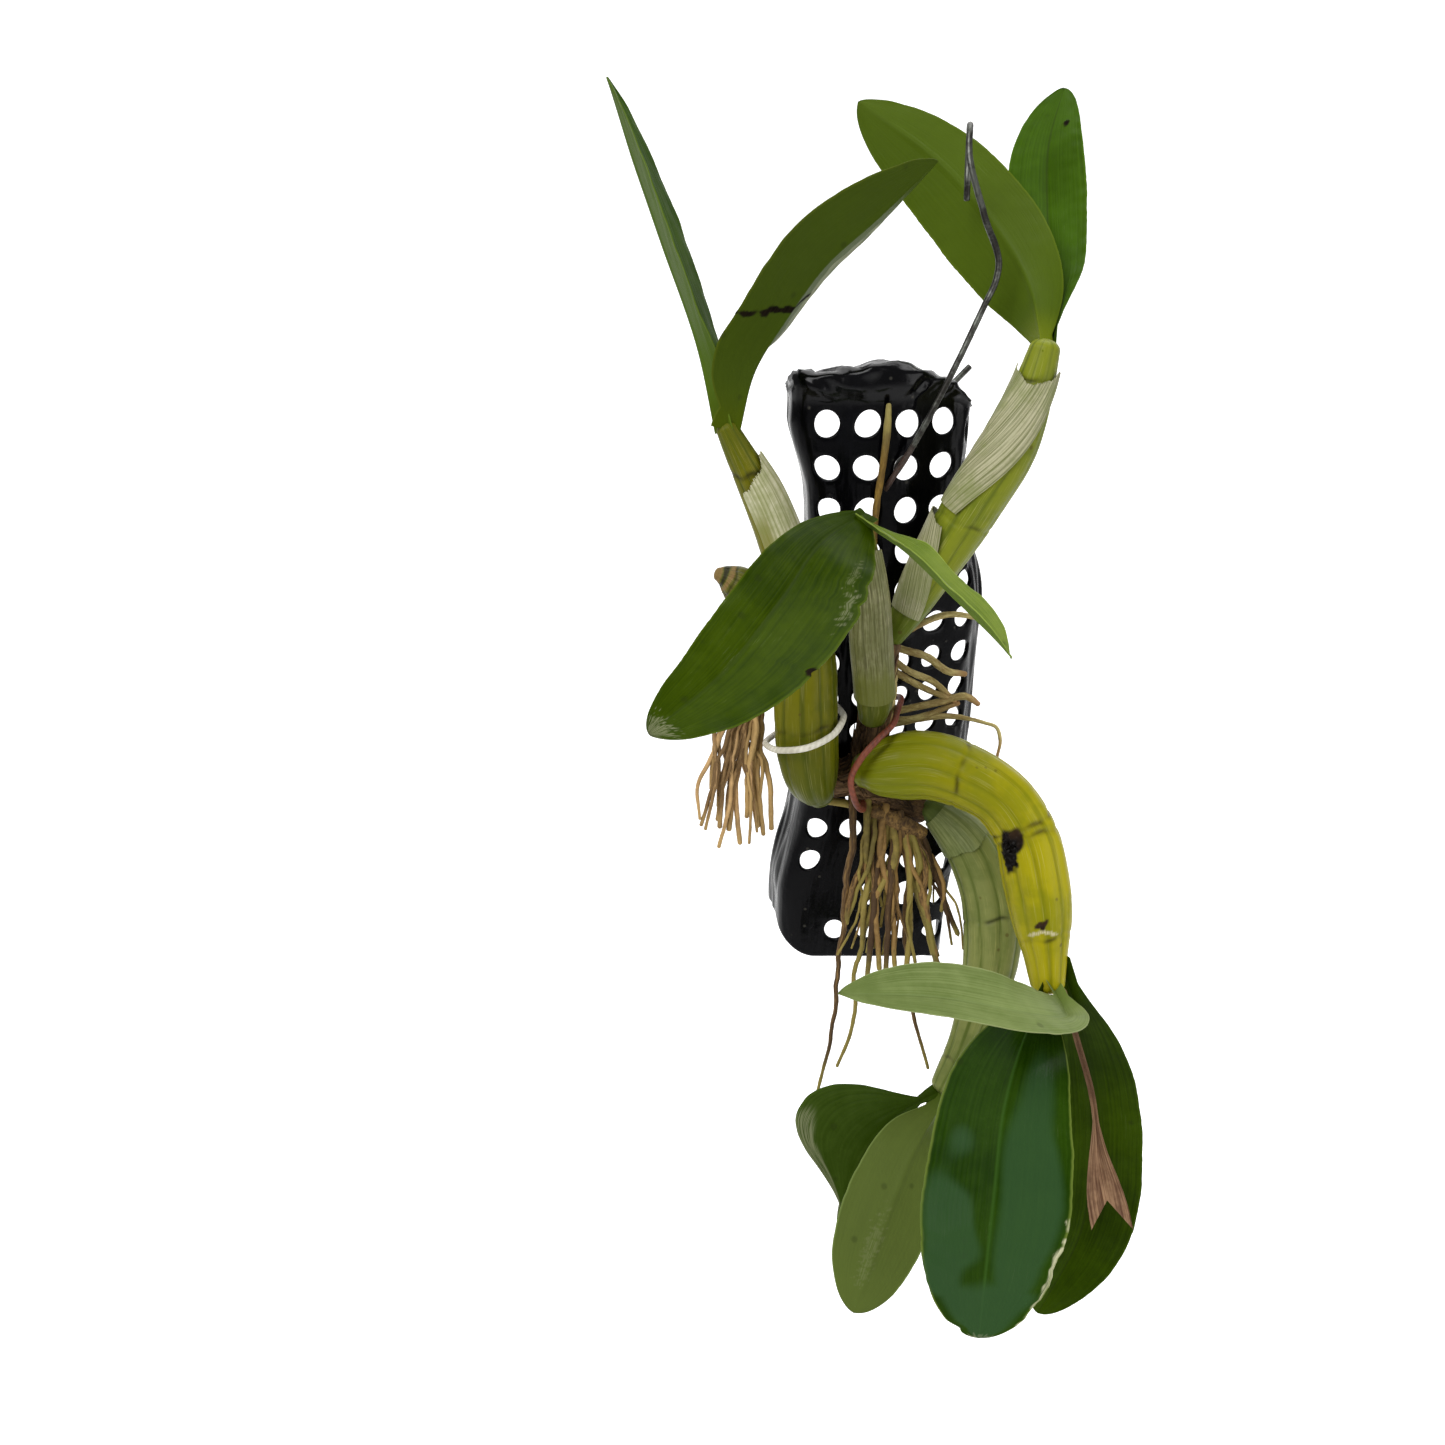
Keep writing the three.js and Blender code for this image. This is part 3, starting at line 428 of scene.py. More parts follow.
class Web:
    """Short way to place and wire shader nodes in one tree."""

    def __init__(self, tree: bpy.types.NodeTree) -> None:
        """Keep the tree; a material gives it its surface shader too."""
        self.tree = tree
        self.shader: Optional[bpy.types.Node] = None

    def put(self, kind: str, inputs: Optional[dict] = None, **settings: object) -> bpy.types.Node:
        """Add a node.

        Args:
            kind: the node's type.
            inputs: socket name or number to a value or to the socket that feeds it.
            settings: the node's own properties.

        Returns:
            The node.
        """
        node = self.tree.nodes.new(kind)
        for key, value in settings.items():
            setattr(node, key, value)
        for key, value in (inputs or {}).items():
            self.feed(node.inputs[key], value)
        return node

    def feed(self, socket: Socket, value: Feed) -> None:
        """Link a socket to the socket given, or set its own value."""
        if isinstance(value, Socket):
            self.tree.links.new(value, socket)
        elif socket.type == "RGBA":
            socket.default_value = (*value[:3], 1.0)
        else:
            socket.default_value = value

    def shade(self, name: str, value: Feed) -> None:
        """Feed a socket of the surface shader."""
        self.feed(self.shader.inputs[name], value)

    def calculate(self, action: str, a: Feed, b: Feed = 0.0, clamp: bool = False) -> Socket:
        """One Math node."""
        return self.put("ShaderNodeMath", {0: a, 1: b}, operation=action, use_clamp=clamp).outputs[0]

    def times(self, a: Feed, b: Feed) -> Socket:
        """The product of two values."""
        return self.calculate("MULTIPLY", a, b)

    def plus(self, a: Feed, b: Feed, clamp: bool = False) -> Socket:
        """The sum of two values."""
        return self.calculate("ADD", a, b, clamp)

    def less(self, a: Feed, b: Feed, clamp: bool = False) -> Socket:
        """The first value less the second."""
        return self.calculate("SUBTRACT", a, b, clamp)

    def blend(self, factor: Feed, a: Feed, b: Feed) -> Socket:
        """Colour a turned into colour b, by a factor in 0..1."""
        node = self.put("ShaderNodeMix", data_type="RGBA", blend_type="MIX")
        for number, value in ((0, factor), (6, a), (7, b)):
            self.feed(node.inputs[number], value)
        return node.outputs[2]

    def ease(self, value: Feed, low: float, high: float) -> Socket:
        """Smooth step of a value.

        Args:
            value: what is eased.
            low: where the step is 0; it may be the larger.
            high: where the step is 1.

        Returns:
            The step, in 0..1.
        """
        turned = low > high
        ends = (high, low) if turned else (low, high)
        node = self.put(
            "ShaderNodeMapRange",
            {0: value, 1: ends[0], 2: ends[1], 3: 1.0 if turned else 0.0, 4: 0.0 if turned else 1.0},
            interpolation_type="SMOOTHSTEP",
        )
        return node.outputs[0]

    def split(self, place: Socket) -> list[Socket]:
        """The three numbers of a place."""
        return list(self.put("ShaderNodeSeparateXYZ", {0: place}).outputs)

    def surface_place(self) -> list[Socket]:
        """Across, along and zero on the piece's own surface."""
        return self.split(self.put("ShaderNodeUVMap", uv_map="place").outputs[0])

    def object_place(self) -> Socket:
        """A place in metres in the part's frame."""
        return self.put("ShaderNodeTexCoord").outputs["Object"]

    def shared(self, kind: Effect, inputs: dict) -> Socket:
        """Place a shared effect and give its value."""
        return self.put("ShaderNodeGroup", inputs, node_tree=effect(kind)).outputs[0]

    def streaks(self, across: float, along: float, shift: float) -> Socket:
        """Long streaks; across and along say how many there are each way."""
        return self.shared(Effect.STREAKS, {"Across": across, "Along": along, "Shift": shift})

    def clouds(self, scale: float, shift: float) -> Socket:
        """Soft clouds; scale says how many fit in a metre."""
        return self.shared(Effect.CLOUDS, {"Scale": scale, "Shift": shift})

    def specks(self, scale: float, share: float) -> Socket:
        """Fine specks; scale says how many cells fit in a metre and share how many of them are kept."""
        return self.shared(Effect.SPECKS, {"Scale": scale, "Share": share})

    def mask(self, mark: Mark) -> Socket:
        """A mask that the mesh carries."""
        return self.put("ShaderNodeAttribute", attribute_name=mark.value).outputs["Fac"]


def effect(kind: Effect) -> bpy.types.NodeTree:
    """The node group of a shared effect, made once.

    Streaks are noise on the piece's own coordinates, drawn out along the piece. Clouds are two layers of
    noise on Object coordinates. Specks are small round cells of which only a share is kept.

    Args:
        kind: which effect.

    Returns:
        The group, with inputs for its size and an output named Value.
    """
    known = bpy.data.node_groups.get(kind.value)
    if known is not None:
        return known
    tree = bpy.data.node_groups.new(kind.value, "ShaderNodeTree")
    face = tree.interface
    for name, default in {
        Effect.STREAKS: (("Across", 40.0), ("Along", 3.0), ("Shift", 0.0)),
        Effect.CLOUDS: (("Scale", 30.0), ("Shift", 0.0)),
        Effect.SPECKS: (("Scale", 400.0), ("Share", 0.2)),
    }[kind]:
        face.new_socket(name, in_out="INPUT", socket_type="NodeSocketFloat").default_value = default
    face.new_socket("Value", in_out="OUTPUT", socket_type="NodeSocketFloat")
    web = Web(tree)
    given = web.put("NodeGroupInput").outputs
    if kind is Effect.STREAKS:
        across, along, _ = web.surface_place()
        drawn = web.put("ShaderNodeCombineXYZ", {
            0: web.times(across, given["Across"]),
            1: web.times(along, given["Along"]),
            2: given["Shift"],
        })
        noise = web.put("ShaderNodeTexNoise", {"Vector": drawn.outputs[0], "Scale": 1.0, "Detail": 3.0})
        value = noise.outputs["Fac"]
    elif kind is Effect.CLOUDS:
        place = web.object_place()
        moved = web.put("ShaderNodeVectorMath", {0: place, 1: given["Shift"]}, operation="ADD").outputs[0]
        broad = web.put("ShaderNodeTexNoise", {"Vector": moved, "Scale": given["Scale"], "Detail": 2.0})
        finer = web.times(given["Scale"], 7.0)
        fine = web.put("ShaderNodeTexNoise", {"Vector": moved, "Scale": finer, "Detail": 3.0})
        value = web.plus(web.times(broad.outputs["Fac"], 0.7), web.times(fine.outputs["Fac"], 0.3))
    else:
        round_cells = web.put(
            "ShaderNodeTexVoronoi", {"Vector": web.object_place(), "Scale": given["Scale"], "Randomness": 1.0}
        )
        drawn = web.put("ShaderNodeSeparateColor", {0: round_cells.outputs["Color"]}).outputs[0]
        kept = web.calculate("LESS_THAN", drawn, given["Share"])
        value = web.times(kept, web.ease(round_cells.outputs["Distance"], 0.32, 0.16))
    web.put("NodeGroupOutput", {0: value})
    return tree


# Finishes


def srgb(red: int, green: int, blue: int) -> Rgb:
    """Linear colour of a shade on screen in 0..255, by the usual curve with its straight foot."""
    return tuple(
        c / 12.92 if c <= 0.04045 else ((c + 0.055) / 1.055) ** 2.4
        for c in (red / 255, green / 255, blue / 255)
    )


@dataclass(frozen=True)
class Finish:
    """A material of the plant or its holder, with its mirror strength and the relief of its Bump node."""

    name: str
    slot: str
    specular: float = 0.5
    bump_strength: float = 0.5
    bump_depth: float = 0.0005

    def material(self) -> bpy.types.Material:
        """The material, made once by its name."""
        known = bpy.data.materials.get(self.name)
        if known is not None:
            return known
        made = bpy.data.materials.new(self.name)
        made.use_nodes = True
        made.node_tree.nodes.clear()
        web = Web(made.node_tree)
        web.shader = web.put("ShaderNodeBsdfPrincipled", {"Specular IOR Level": self.specular})
        web.put("ShaderNodeOutputMaterial", {0: web.shader.outputs[0]})
        self.wire(web)
        return made

    def wire(self, web: Web) -> None:
        """Wire the colour, roughness and relief into the shader."""
        raise NotImplementedError

    def relief(self, web: Web, height: Feed) -> None:
        """Feed a height through a Bump node into the shader's normal."""
        bump = web.put("ShaderNodeBump", {
            "Strength": self.bump_strength, "Distance": self.bump_depth, "Height": height,
        })
        web.shade("Normal", bump.outputs[0])


@dataclass(frozen=True, kw_only=True)
class Leaf(Finish):
    """Waxy leaf skin: long faint veins, a midrib line, a pale margin, a yellow foot and worn spots.

    The under mask shows the lower face, the pale mask dried skin and on some leaves a painted pale sheen, the
    wet mask a water film whose bluish colour is a painted reflection, and the burn mask scorched tissue.
    """

    dark: Rgb
    light: Rgb
    under: Rgb
    foot: Rgb
    margin: Rgb
    shift: float
    midrib: Rgb = (0.02, 0.035, 0.003)
    speck: Rgb = srgb(36, 44, 16)
    # pale grey of the pale mask: dried skin, and on some leaves a painted sheen
    scuff: Rgb = srgb(170, 178, 140)
    # bluish green of a water film on the blade: a painted reflection
    dried_and_sheen: Rgb = srgb(186, 184, 150)
    water_sheen: Rgb = srgb(48, 76, 44)
    charred: Rgb = srgb(8, 6, 5)
    scorched: Rgb = srgb(34, 26, 16)
    roughness: float = 0.34
    scuffs: float = 0.15
    specular: float = 0.035
    bump_strength: float = 0.45

    def wire(self, web: Web) -> None:
        """Mix the leaf's shades by clouds, veins, place on the blade and the mesh's masks."""
        across, along, _ = web.surface_place()
        off = web.times(web.calculate("ABSOLUTE", web.less(across, 0.5)), 2.0)
        clouds = web.clouds(22.0, self.shift)
        veins = web.streaks(46.0, 2.2, self.shift)
        fine = web.streaks(150.0, 9.0, 3.0)
        tone = web.plus(web.times(clouds, 0.9), web.times(veins, 0.5))
        colour = web.blend(web.ease(tone, 0.45, 0.95), self.dark, self.light)
        colour = web.blend(web.times(web.ease(off, 0.045, 0.0), 0.6), colour, self.midrib)
        lower = web.blend(web.ease(tone, 0.4, 1.0), tuple(0.86 * c for c in self.under), self.under)
        colour = web.blend(web.mask(Mark.UNDER), colour, lower)
        colour = web.blend(web.times(web.ease(along, 0.17, 0.0), 0.85), colour, self.foot)
        colour = web.blend(web.times(web.ease(off, 0.95, 0.99), 0.75), colour, self.margin)
        specks = web.specks(130.0, self.scuffs * 0.35)
        colour = web.blend(web.times(specks, 0.35), colour, self.speck)
        scuff = web.times(web.ease(fine, 0.62, 0.74), web.ease(clouds, 0.56, 0.66))
        colour = web.blend(web.times(scuff, self.scuffs), colour, self.scuff)
        # pale mask: dried skin, and on some leaves a painted sheen along the margin
        pale = web.times(web.mask(Mark.PALE), web.ease(fine, 0.35, 0.6))
        colour = web.blend(pale, colour, self.dried_and_sheen)
        # wet mask: painted bluish reflection of a water film; the same mask lowers the roughness for real
        # gloss
        wet_sheen = web.mask(Mark.WET_SHEEN)
        colour = web.blend(web.times(wet_sheen, 0.75), colour, self.water_sheen)
        burn = web.mask(Mark.BURN)
        colour = web.blend(burn, colour, web.blend(web.ease(fine, 0.3, 0.7), self.charred, self.scorched))
        web.shade("Base Color", colour)
        rough = web.plus(web.times(clouds, 0.22), self.roughness - 0.1)
        rough = web.plus(rough, web.times(burn, 0.4))
        rough = web.plus(rough, web.times(web.mask(Mark.UNDER), 0.14))
        web.shade("Roughness", web.less(rough, web.times(wet_sheen, 0.22), clamp=True))
        self.relief(web, web.plus(web.times(veins, 0.8), web.times(fine, 0.25)))


@dataclass(frozen=True, kw_only=True)
class Bulb(Finish):
    """Ribbed bulb skin: green in the furrows, yellow on the ribs, fine length lines, corky scars.

    Flush is the green that spreads in patches and from the foot up to the share green_to; worn is the shade
    of the pale mask, and the burn mask turns to a dark crust.
    """

    rib: Rgb
    furrow: Rgb
    flush: Rgb
    spread: float = 0.6
    line: Rgb = srgb(198, 190, 120)
    speck: Rgb = srgb(78, 60, 24)
    worn: Rgb = (0.55, 0.5, 0.31)
    crust: tuple[Rgb, Rgb] = (srgb(12, 9, 7), srgb(52, 36, 22))
    green_to: float = 0.3
    roughness: float = 0.36
    shift: float = 0.0
    specular: float = 0.1
    bump_depth: float = 0.0006

    def wire(self, web: Web) -> None:
        """Mix the bulb's shades by furrow depth, length streaks and clouds, with scars on top."""
        clouds = web.clouds(26.0, self.shift)
        streaks = web.streaks(34.0, 1.6, self.shift)
        lines = web.streaks(190.0, 7.0, 1.0)
        depth = web.plus(web.mask(Mark.GROOVE), web.times(web.less(streaks, 0.5), 1.6))
        colour = web.blend(web.ease(depth, 0.25, 0.95), self.rib, self.furrow)
        patch = web.times(web.ease(clouds, 0.44, 0.62), self.spread)
        colour = web.blend(patch, colour, self.flush)
        _, along, _ = web.surface_place()
        colour = web.blend(web.ease(along, self.green_to, 0.0), colour, self.flush)
        colour = web.blend(web.times(web.ease(lines, 0.56, 0.74), 0.3), colour, self.line)
        colour = web.blend(web.times(web.specks(210.0, 0.035), 0.55), colour, self.speck)
        pale = web.times(web.mask(Mark.PALE), web.ease(lines, 0.3, 0.55))
        colour = web.blend(pale, colour, self.worn)
        burn = web.mask(Mark.BURN)
        crust = web.blend(web.ease(clouds, 0.45, 0.65), *self.crust)
        web.shade("Base Color", web.blend(burn, colour, crust))
        rough = web.plus(web.times(clouds, 0.25), self.roughness - 0.1)
        web.shade("Roughness", web.plus(rough, web.times(pale, 0.3), clamp=True))
        self.relief(web, web.plus(web.times(streaks, 0.6), web.times(lines, 0.4)))


@dataclass(frozen=True, kw_only=True)
class Fibre(Finish):
    """Dry fibrous skin of sheaths, roots and the rhizome, with streaks from light to dark.

    Clouds lay the stain over the streaks, and the under mask shows the shade of root tips and bare places.
    """

    light: Rgb
    dark: Rgb
    stain: Rgb
    tip: Rgb
    across: float
    along: float
    stained: float = 0.4
    roughness: float = 0.7
    dusty: Rgb = srgb(212, 204, 178)
    char: Rgb = srgb(34, 24, 16)
    balance: float = 0.5
    contrast: float = 0.14
    shift: float = 0.0
    specular: float = 0.3
    bump_strength: float = 0.8
    bump_depth: float = 0.0007

    def wire(self, web: Web) -> None:
        """Mix light and dark by streaks and each strand's own tone; clouds lay the stain over them."""
        streaks = web.streaks(self.across, self.along, self.shift)
        fine = web.streaks(self.across * 3.1, self.along * 4, 5.0)
        clouds = web.clouds(45.0, self.shift)
        mixed = web.plus(web.times(streaks, 0.65), web.times(fine, 0.35))
        mixed = web.plus(mixed, web.times(web.mask(Mark.TONE), 0.3))
        darker = web.ease(mixed, self.balance - self.contrast, self.balance + self.contrast)
        colour = web.blend(darker, self.light, self.dark)
        colour = web.blend(web.mask(Mark.UNDER), colour, self.tip)
        colour = web.blend(web.times(web.ease(clouds, 0.42, 0.62), self.stained), colour, self.stain)
        colour = web.blend(web.times(web.mask(Mark.PALE), 0.8), colour, self.dusty)
        web.shade("Base Color", web.blend(web.mask(Mark.BURN), colour, self.char))
        web.shade("Roughness", web.plus(web.times(fine, 0.25), self.roughness - 0.12))
        self.relief(web, web.plus(mixed, clouds))


@dataclass(frozen=True, kw_only=True)
class Plastic(Finish):
    """Glossy black plastic with faint drawn ripples, dust and dried water marks.

    A thin clear coat from the height crest_foot up to crest_head gives the curled top its sharp gleams.
    """

    skin: Rgb = srgb(2, 2, 4)
    haze: Rgb = srgb(10, 11, 15)
    speck: Rgb = srgb(90, 88, 80)
    crest_foot: float = -0.127
    crest_head: float = -0.119
    coat: float = 0.3
    coat_roughness: float = 0.12
    specular: float = 0.09
    bump_strength: float = 0.7
    bump_depth: float = 0.0022

    def wire(self, web: Web) -> None:
        """Nearly black skin; dust clouds lift the shade and the roughness a little."""
        clouds = web.clouds(34.0, 2.0)
        drawn = web.streaks(22.0, 3.5, 0.0)
        specks = web.specks(260.0, 0.05)
        colour = web.blend(web.times(web.ease(clouds, 0.5, 0.66), 0.5), self.skin, self.haze)
        web.shade("Base Color", web.blend(web.times(specks, 0.3), colour, self.speck))
        web.shade("Roughness", web.plus(web.times(clouds, 0.3), 0.05))
        _, _, height = web.split(web.object_place())
        gleam = web.times(web.ease(height, self.crest_foot, self.crest_head), self.coat)
        web.shade("Coat Weight", gleam)
        web.shade("Coat Roughness", self.coat_roughness)
        self.relief(web, web.plus(drawn, web.times(clouds, 0.3)))


@dataclass(frozen=True, kw_only=True)
class Wire(Finish):
    """Dull grey drawn wire with dark spots and rust where its marks say."""

    zinc: Rgb = srgb(96, 98, 92)
    dull: Rgb = srgb(52, 50, 48)
    rust: Rgb = srgb(60, 36, 26)
    bump_depth: float = 0.0003

    def wire(self, web: Web) -> None:
        """Grey zinc with darker clouds; the burn mask turns it to rust."""
        clouds = web.clouds(120.0, 4.0)
        lines = web.streaks(14.0, 60.0, 0.0)
        colour = web.blend(web.ease(clouds, 0.4, 0.62), self.zinc, self.dull)
        rust = web.times(web.mask(Mark.BURN), web.ease(lines, 0.3, 0.55))
        web.shade("Base Color", web.blend(rust, colour, self.rust))
        web.shade("Metallic", web.ease(rust, 0.6, 0.1))
        web.shade("Roughness", web.plus(web.times(clouds, 0.4), 0.25))
        self.relief(web, web.plus(clouds, web.times(lines, 0.5)))


@dataclass(frozen=True, kw_only=True)
class Cord(Finish):
    """Twisted tie: slanting strands over its own length."""

    light: Rgb
    dark: Rgb
    turns: float = 60.0
    bump_strength: float = 0.2
    bump_depth: float = 0.0002

    def wire(self, web: Web) -> None:
        """Strands are a sine of angle plus distance; clouds soil them."""
        around, along, _ = web.surface_place()
        slant = web.plus(web.times(around, 2 * TURN), web.times(along, self.turns * TURN))
        strand = web.plus(web.times(web.calculate("SINE", slant), 0.5), 0.5)
        clouds = web.clouds(90.0, 1.0)
        tone = web.plus(web.times(strand, 0.12), web.times(clouds, 1.0))
        web.shade("Base Color", web.blend(web.ease(tone, 0.35, 0.75), self.dark, self.light))
        web.shade("Roughness", web.plus(web.times(clouds, 0.2), 0.45))
        self.relief(web, strand)


@dataclass(frozen=True, kw_only=True)
class Backdrop(Finish):
    """Plain pale floor and sweep."""

    specular: float = 0.1
    roughness: float = 0.9
    glow: float = 0.75

    def wire(self, web: Web) -> None:
        """Near-white with clouds too faint to see, and behind the plant a glow like a lit screen."""
        white = web.blend(web.clouds(1.5, 0.0), (0.9, 0.9, 0.9), (0.93, 0.93, 0.93))
        web.shade("Base Color", white)
        _, depth, _ = web.split(web.object_place())
        black = (0.0, 0.0, 0.0)
        web.shade("Emission Color", web.blend(web.ease(depth, 0.2, 0.5), black, white))
        web.shade("Emission Strength", self.glow)
        web.shade("Roughness", self.roughness)


# Holder


class Patchwork:
    """Grids of along, down and depth on the shell's sheet, whose shared places are merged at the end."""

    def __init__(self) -> None:
        """Start with nothing."""
        self.places: list[Array] = []
        self.faces: list[Array] = []
        self.count = 0

    def add(self, places: Array, wrap: bool = False, flip: bool = False) -> None:
        """Add a grid with its faces.

        Args:
            places: along, down and depth on the last axis.
            wrap: whether the last column meets the first.
            flip: whether the faces look the other way.
        """
        index = np.arange(self.count, self.count + places[..., 0].size).reshape(places.shape[:2])
        self.count += index.size
        self.places.append(places.reshape(-1, 3))
        if wrap:
            index = np.concatenate([index, index[:, :1]], axis=1)
        self.faces.append(cells(index, flip))

    def both_sides(self, across: Array, down: Array, wall: float) -> None:
        """Add a plain patch on the outer face and one behind it, deeper by the wall."""
        for depth, flip in ((0.0, True), (wall, False)):
            self.add(grid(np.asarray(across)[None], np.asarray(down)[:, None], depth), flip=flip)

    def merged(self) -> tuple[Array, Array]:
        """All places once, rounded to a thousandth of a millimetre, and the faces between them."""
        known, merged = np.unique(np.round(np.concatenate(self.places), 3), axis=0, return_inverse=True)
        return known, merged.reshape(-1)[np.concatenate(self.faces)]


@dataclass
class HangingShell:
    """Half tube of perforated plastic with a curled top, and the wire that it hangs on.

    Along counts from the first column of holes and down from the first row. Closed lists the holes that are
    shut: a column, its first row and its last.
    """

    rows: int = 15
    columns: int = 6
    pitch_across: float = 20.0
    pitch_down: float = 21.5
    hole_radius: float = 6.25
    thickness: float = 2.6
    left: float = -24.0
    right: float = 122.0
    foot: float = 8.0
    first_y: float = -3.0
    first_z: float = -132.5
    lean: float = 0.234
    third_hole: float = 40.0
    curl: float = 20.0
    around: int = 32
    lip: float = 0.7
    closed: Sequence[tuple[int, int, int]] = ((0, 0, 2), (0, 11, 14), (1, 13, 14), (2, 12, 13))
    plastic: Finish = Plastic("black_plastic", "shell_plastic")
    zinc: Finish = Wire("hanger_zinc", "wire")

    def heading(self, along: Array, row: Array) -> Array:
        """Heading of the sheet's cross section, from +X towards the back.

        It turns 80 to 90 degrees at the left corner. At the right it turns a sharp corner above and below and
        a slanted flank in the middle rows.

        Args:
            along: distance along the sheet.
            row: the row of holes, as a number that may lie between two.

        Returns:
            Angles in radians.
        """
        high = 1 - smooth(2, 5, row)
        low = smooth(9, 12, row)
        tuck = 9 * smooth(-0.3, 1.8, row) - 5.5 - 3.5 * smooth(11, 13.5, row)
        left = -(80 + 10 * high) * (1 - smooth(tuck - 3, tuck + 22, along))
        top = 22 * smooth(50, 68, along) + 60 * smooth(86, 102, along)
        flank = 26 * smooth(44, 62, along) + 34 * smooth(96, 112, along)
        base = 80 * smooth(95, 113, along)
        return np.radians(left + high * top + (1 - high - low) * flank + low * base)

    def crest(self, along: Array) -> Array:
        """Height of the wavy top edge above the cells of the first row."""
        return (
            6.5 + 7.5 * smooth(-20, 0, along) + 4.5 * np.exp(-(((along - 47) / 16) ** 2))
            - 9 * smooth(66, 96, along) + 0.5 * np.sin(along * 0.33) - 4 * smooth(86, 106, along)
        )

    def place(self, along: Array, down: Array) -> Array:
        """Places on the outer face.

        The cross section is the sum of short steps along the heading; the rows are stacked straight and
        then leaned back, and above the first row the sheet rises to a wavy crest and curls in.

        Args:
            along: distance along the sheet from the first column.
            down: distance down from the first row of holes.

        Returns:
            Places with last axis 3 long.
        """
        along, down = np.broadcast_arrays(np.asarray(along, float), np.asarray(down, float))
        row = np.clip(down / self.pitch_down, 0, self.rows - 1)
        steps = 48
        middle = (np.arange(steps) + 0.5) / steps
        reach = along - self.third_hole
        heading = self.heading(self.third_hole + middle * reach[..., None], row[..., None])
        x = -44 + 6 * smooth(0, 5, row) - 9 * smooth(9.5, 13.5, row)
        x = x + np.cos(heading).sum(axis=-1) * reach / steps
        back = np.sin(heading).sum(axis=-1) * reach / steps
        heading = self.heading(along, row)
        corner = np.minimum(1, np.abs(heading) / 1.3)
        edge = -self.pitch_down / 2
        share = np.clip((edge - down) / self.curl, 0, None)
        rise = self.crest(along) * np.sin(np.minimum(1, share / 0.7) * math.pi / 2)
        above = -edge + rise - 2 * smooth(0.75, 1, share)
        up = np.where(down < edge, above, -down)
        curl = (11 + (4.5 - 11) * corner) * smooth(0.4, 1, share)
        bulge = (1.4 * corner - 2) * np.sin(math.pi * np.minimum(1, share / 0.55))
        inward = np.where(down < edge, bulge + curl, 0)
        up = up + 20 * smooth(12.4, 14.8, down / self.pitch_down) * (1 - smooth(-8, 28, along))
        up = up + 7 * smooth(3, 11, row) * (1 - smooth(12.6, 14, row))
        up = up - 9 * smooth(84, 108, along) * (1 - smooth(0, 4, row))
        back = back + np.cos(heading) * inward
        x = x - np.sin(heading) * inward
        cos, sin = math.cos(self.lean), math.sin(self.lean)
        y, z = self.first_y + back * cos - up * sin, self.first_z + back * sin + up * cos
        return np.stack([x, y, z], axis=-1)

    def axes(self, along: Array, down: Array) -> tuple[Array, ...]:
        """Unit vectors along the sheet, down it and out of it, from small steps on it."""
        step = 0.4
        lower = unit(self.place(along, down + step) - self.place(along, down - step))
        right = unit(self.place(along + step, down) - self.place(along - step, down))
        return right, lower, unit(np.cross(lower, right))

    def skin(self, along: Array, down: Array, depth: Array) -> Array:
        """Places at a depth behind the outer face, with drawn ripples in both faces.

        The ripples run down the sheet and grow towards its side walls and its curled top, where bent folds
        cross them. Past a border of the sheet a place goes straight on, which rounds the border.

        Args:
            along: distance along the sheet.
            down: distance down it.
            depth: distance behind the outer face.

        Returns:
            Places with last axis 3 long.
        """
        top, foot = -self.pitch_down / 2 - self.curl, (self.rows - 0.5) * self.pitch_down + self.foot
        past_along = along - np.clip(along, self.left, self.right)
        past_down = down - np.clip(down, top, foot)
        along, down = along - past_along, down - past_down
        right, lower, normal = self.axes(along, np.maximum(down, top + 0.5))
        flat = grid(along / 7.0, down / 60.0, 0.0)
        lumps = grid(along / 10.0, down / 7.0, 0.0)
        side = np.clip(smooth(78, 100, along) + 1 - smooth(-14, 4, along), 0, 1)
        crest = 1 - smooth(-15, -9, down)
        folds = (down + 0.012 * (along - 42) ** 2 + 2.2 * ripple(lumps, 2.2, 23)) / 7.5
        height = (0.16 + 0.85 * side) * ripple(flat, 1.0, 21) + 0.7 * crest * ripple(lumps, 1.3, 22)
        height = height + 0.55 * crest * np.sin(TURN * folds)
        place = self.place(along, down) + right * past_along[..., None] + lower * past_down[..., None]
        return place + normal * (height - depth)[..., None]

    def hole(self, column: int, row: int, draw: Array) -> Array:
        """A hole's cell as a fan of rings.

        They go from the cell's border in to a rounded lip, through the hole and out again over the back. The
        hole is an ellipse with a slight three-sided swell, and its border is the cell's own.

        Args:
            column: the hole's column.
            row: the hole's row.
            draw: two numbers in 0..1, for its turn and its shape.

        Returns:
            Rings of along, down and depth.
        """
        wall, lip = self.thickness, self.lip
        angle = np.arange(self.around) / self.around * TURN
        cos, sin = np.cos(angle), np.sin(angle)
        reach = 1 / np.maximum(np.abs(cos), np.abs(sin))
        turn, oval = draw[0] * 6.28, 0.03 + 0.05 * draw[1]
        radius = self.hole_radius * (
            1.03 + oval * np.cos(2 * angle + turn) + 0.02 * np.sin(3 * angle + 5 * turn)
        )
        rim = grid(reach * cos * (self.pitch_across / 2), -reach * sin * (self.pitch_down / 2))
        edge = grid(cos * radius, -sin * radius)
        out = unit(edge)
        near, face = edge + out * 0.8, edge + (rim - edge) * 0.55
        bend, bore = edge + out * 0.35, edge + out * 0.02
        rings = [
            (0.0, rim), (0.0, face), (0.0, near), (0.12, bend), (lip, bore),
            (wall - lip, bore), (wall - 0.12, bend), (wall, near), (wall, face), (wall, rim),
        ]
        centre = (column * self.pitch_across, row * self.pitch_down)
        return np.stack([
            np.concatenate([flat + centre, np.full((self.around, 1), depth)], axis=1) for depth, flat in rings
        ])

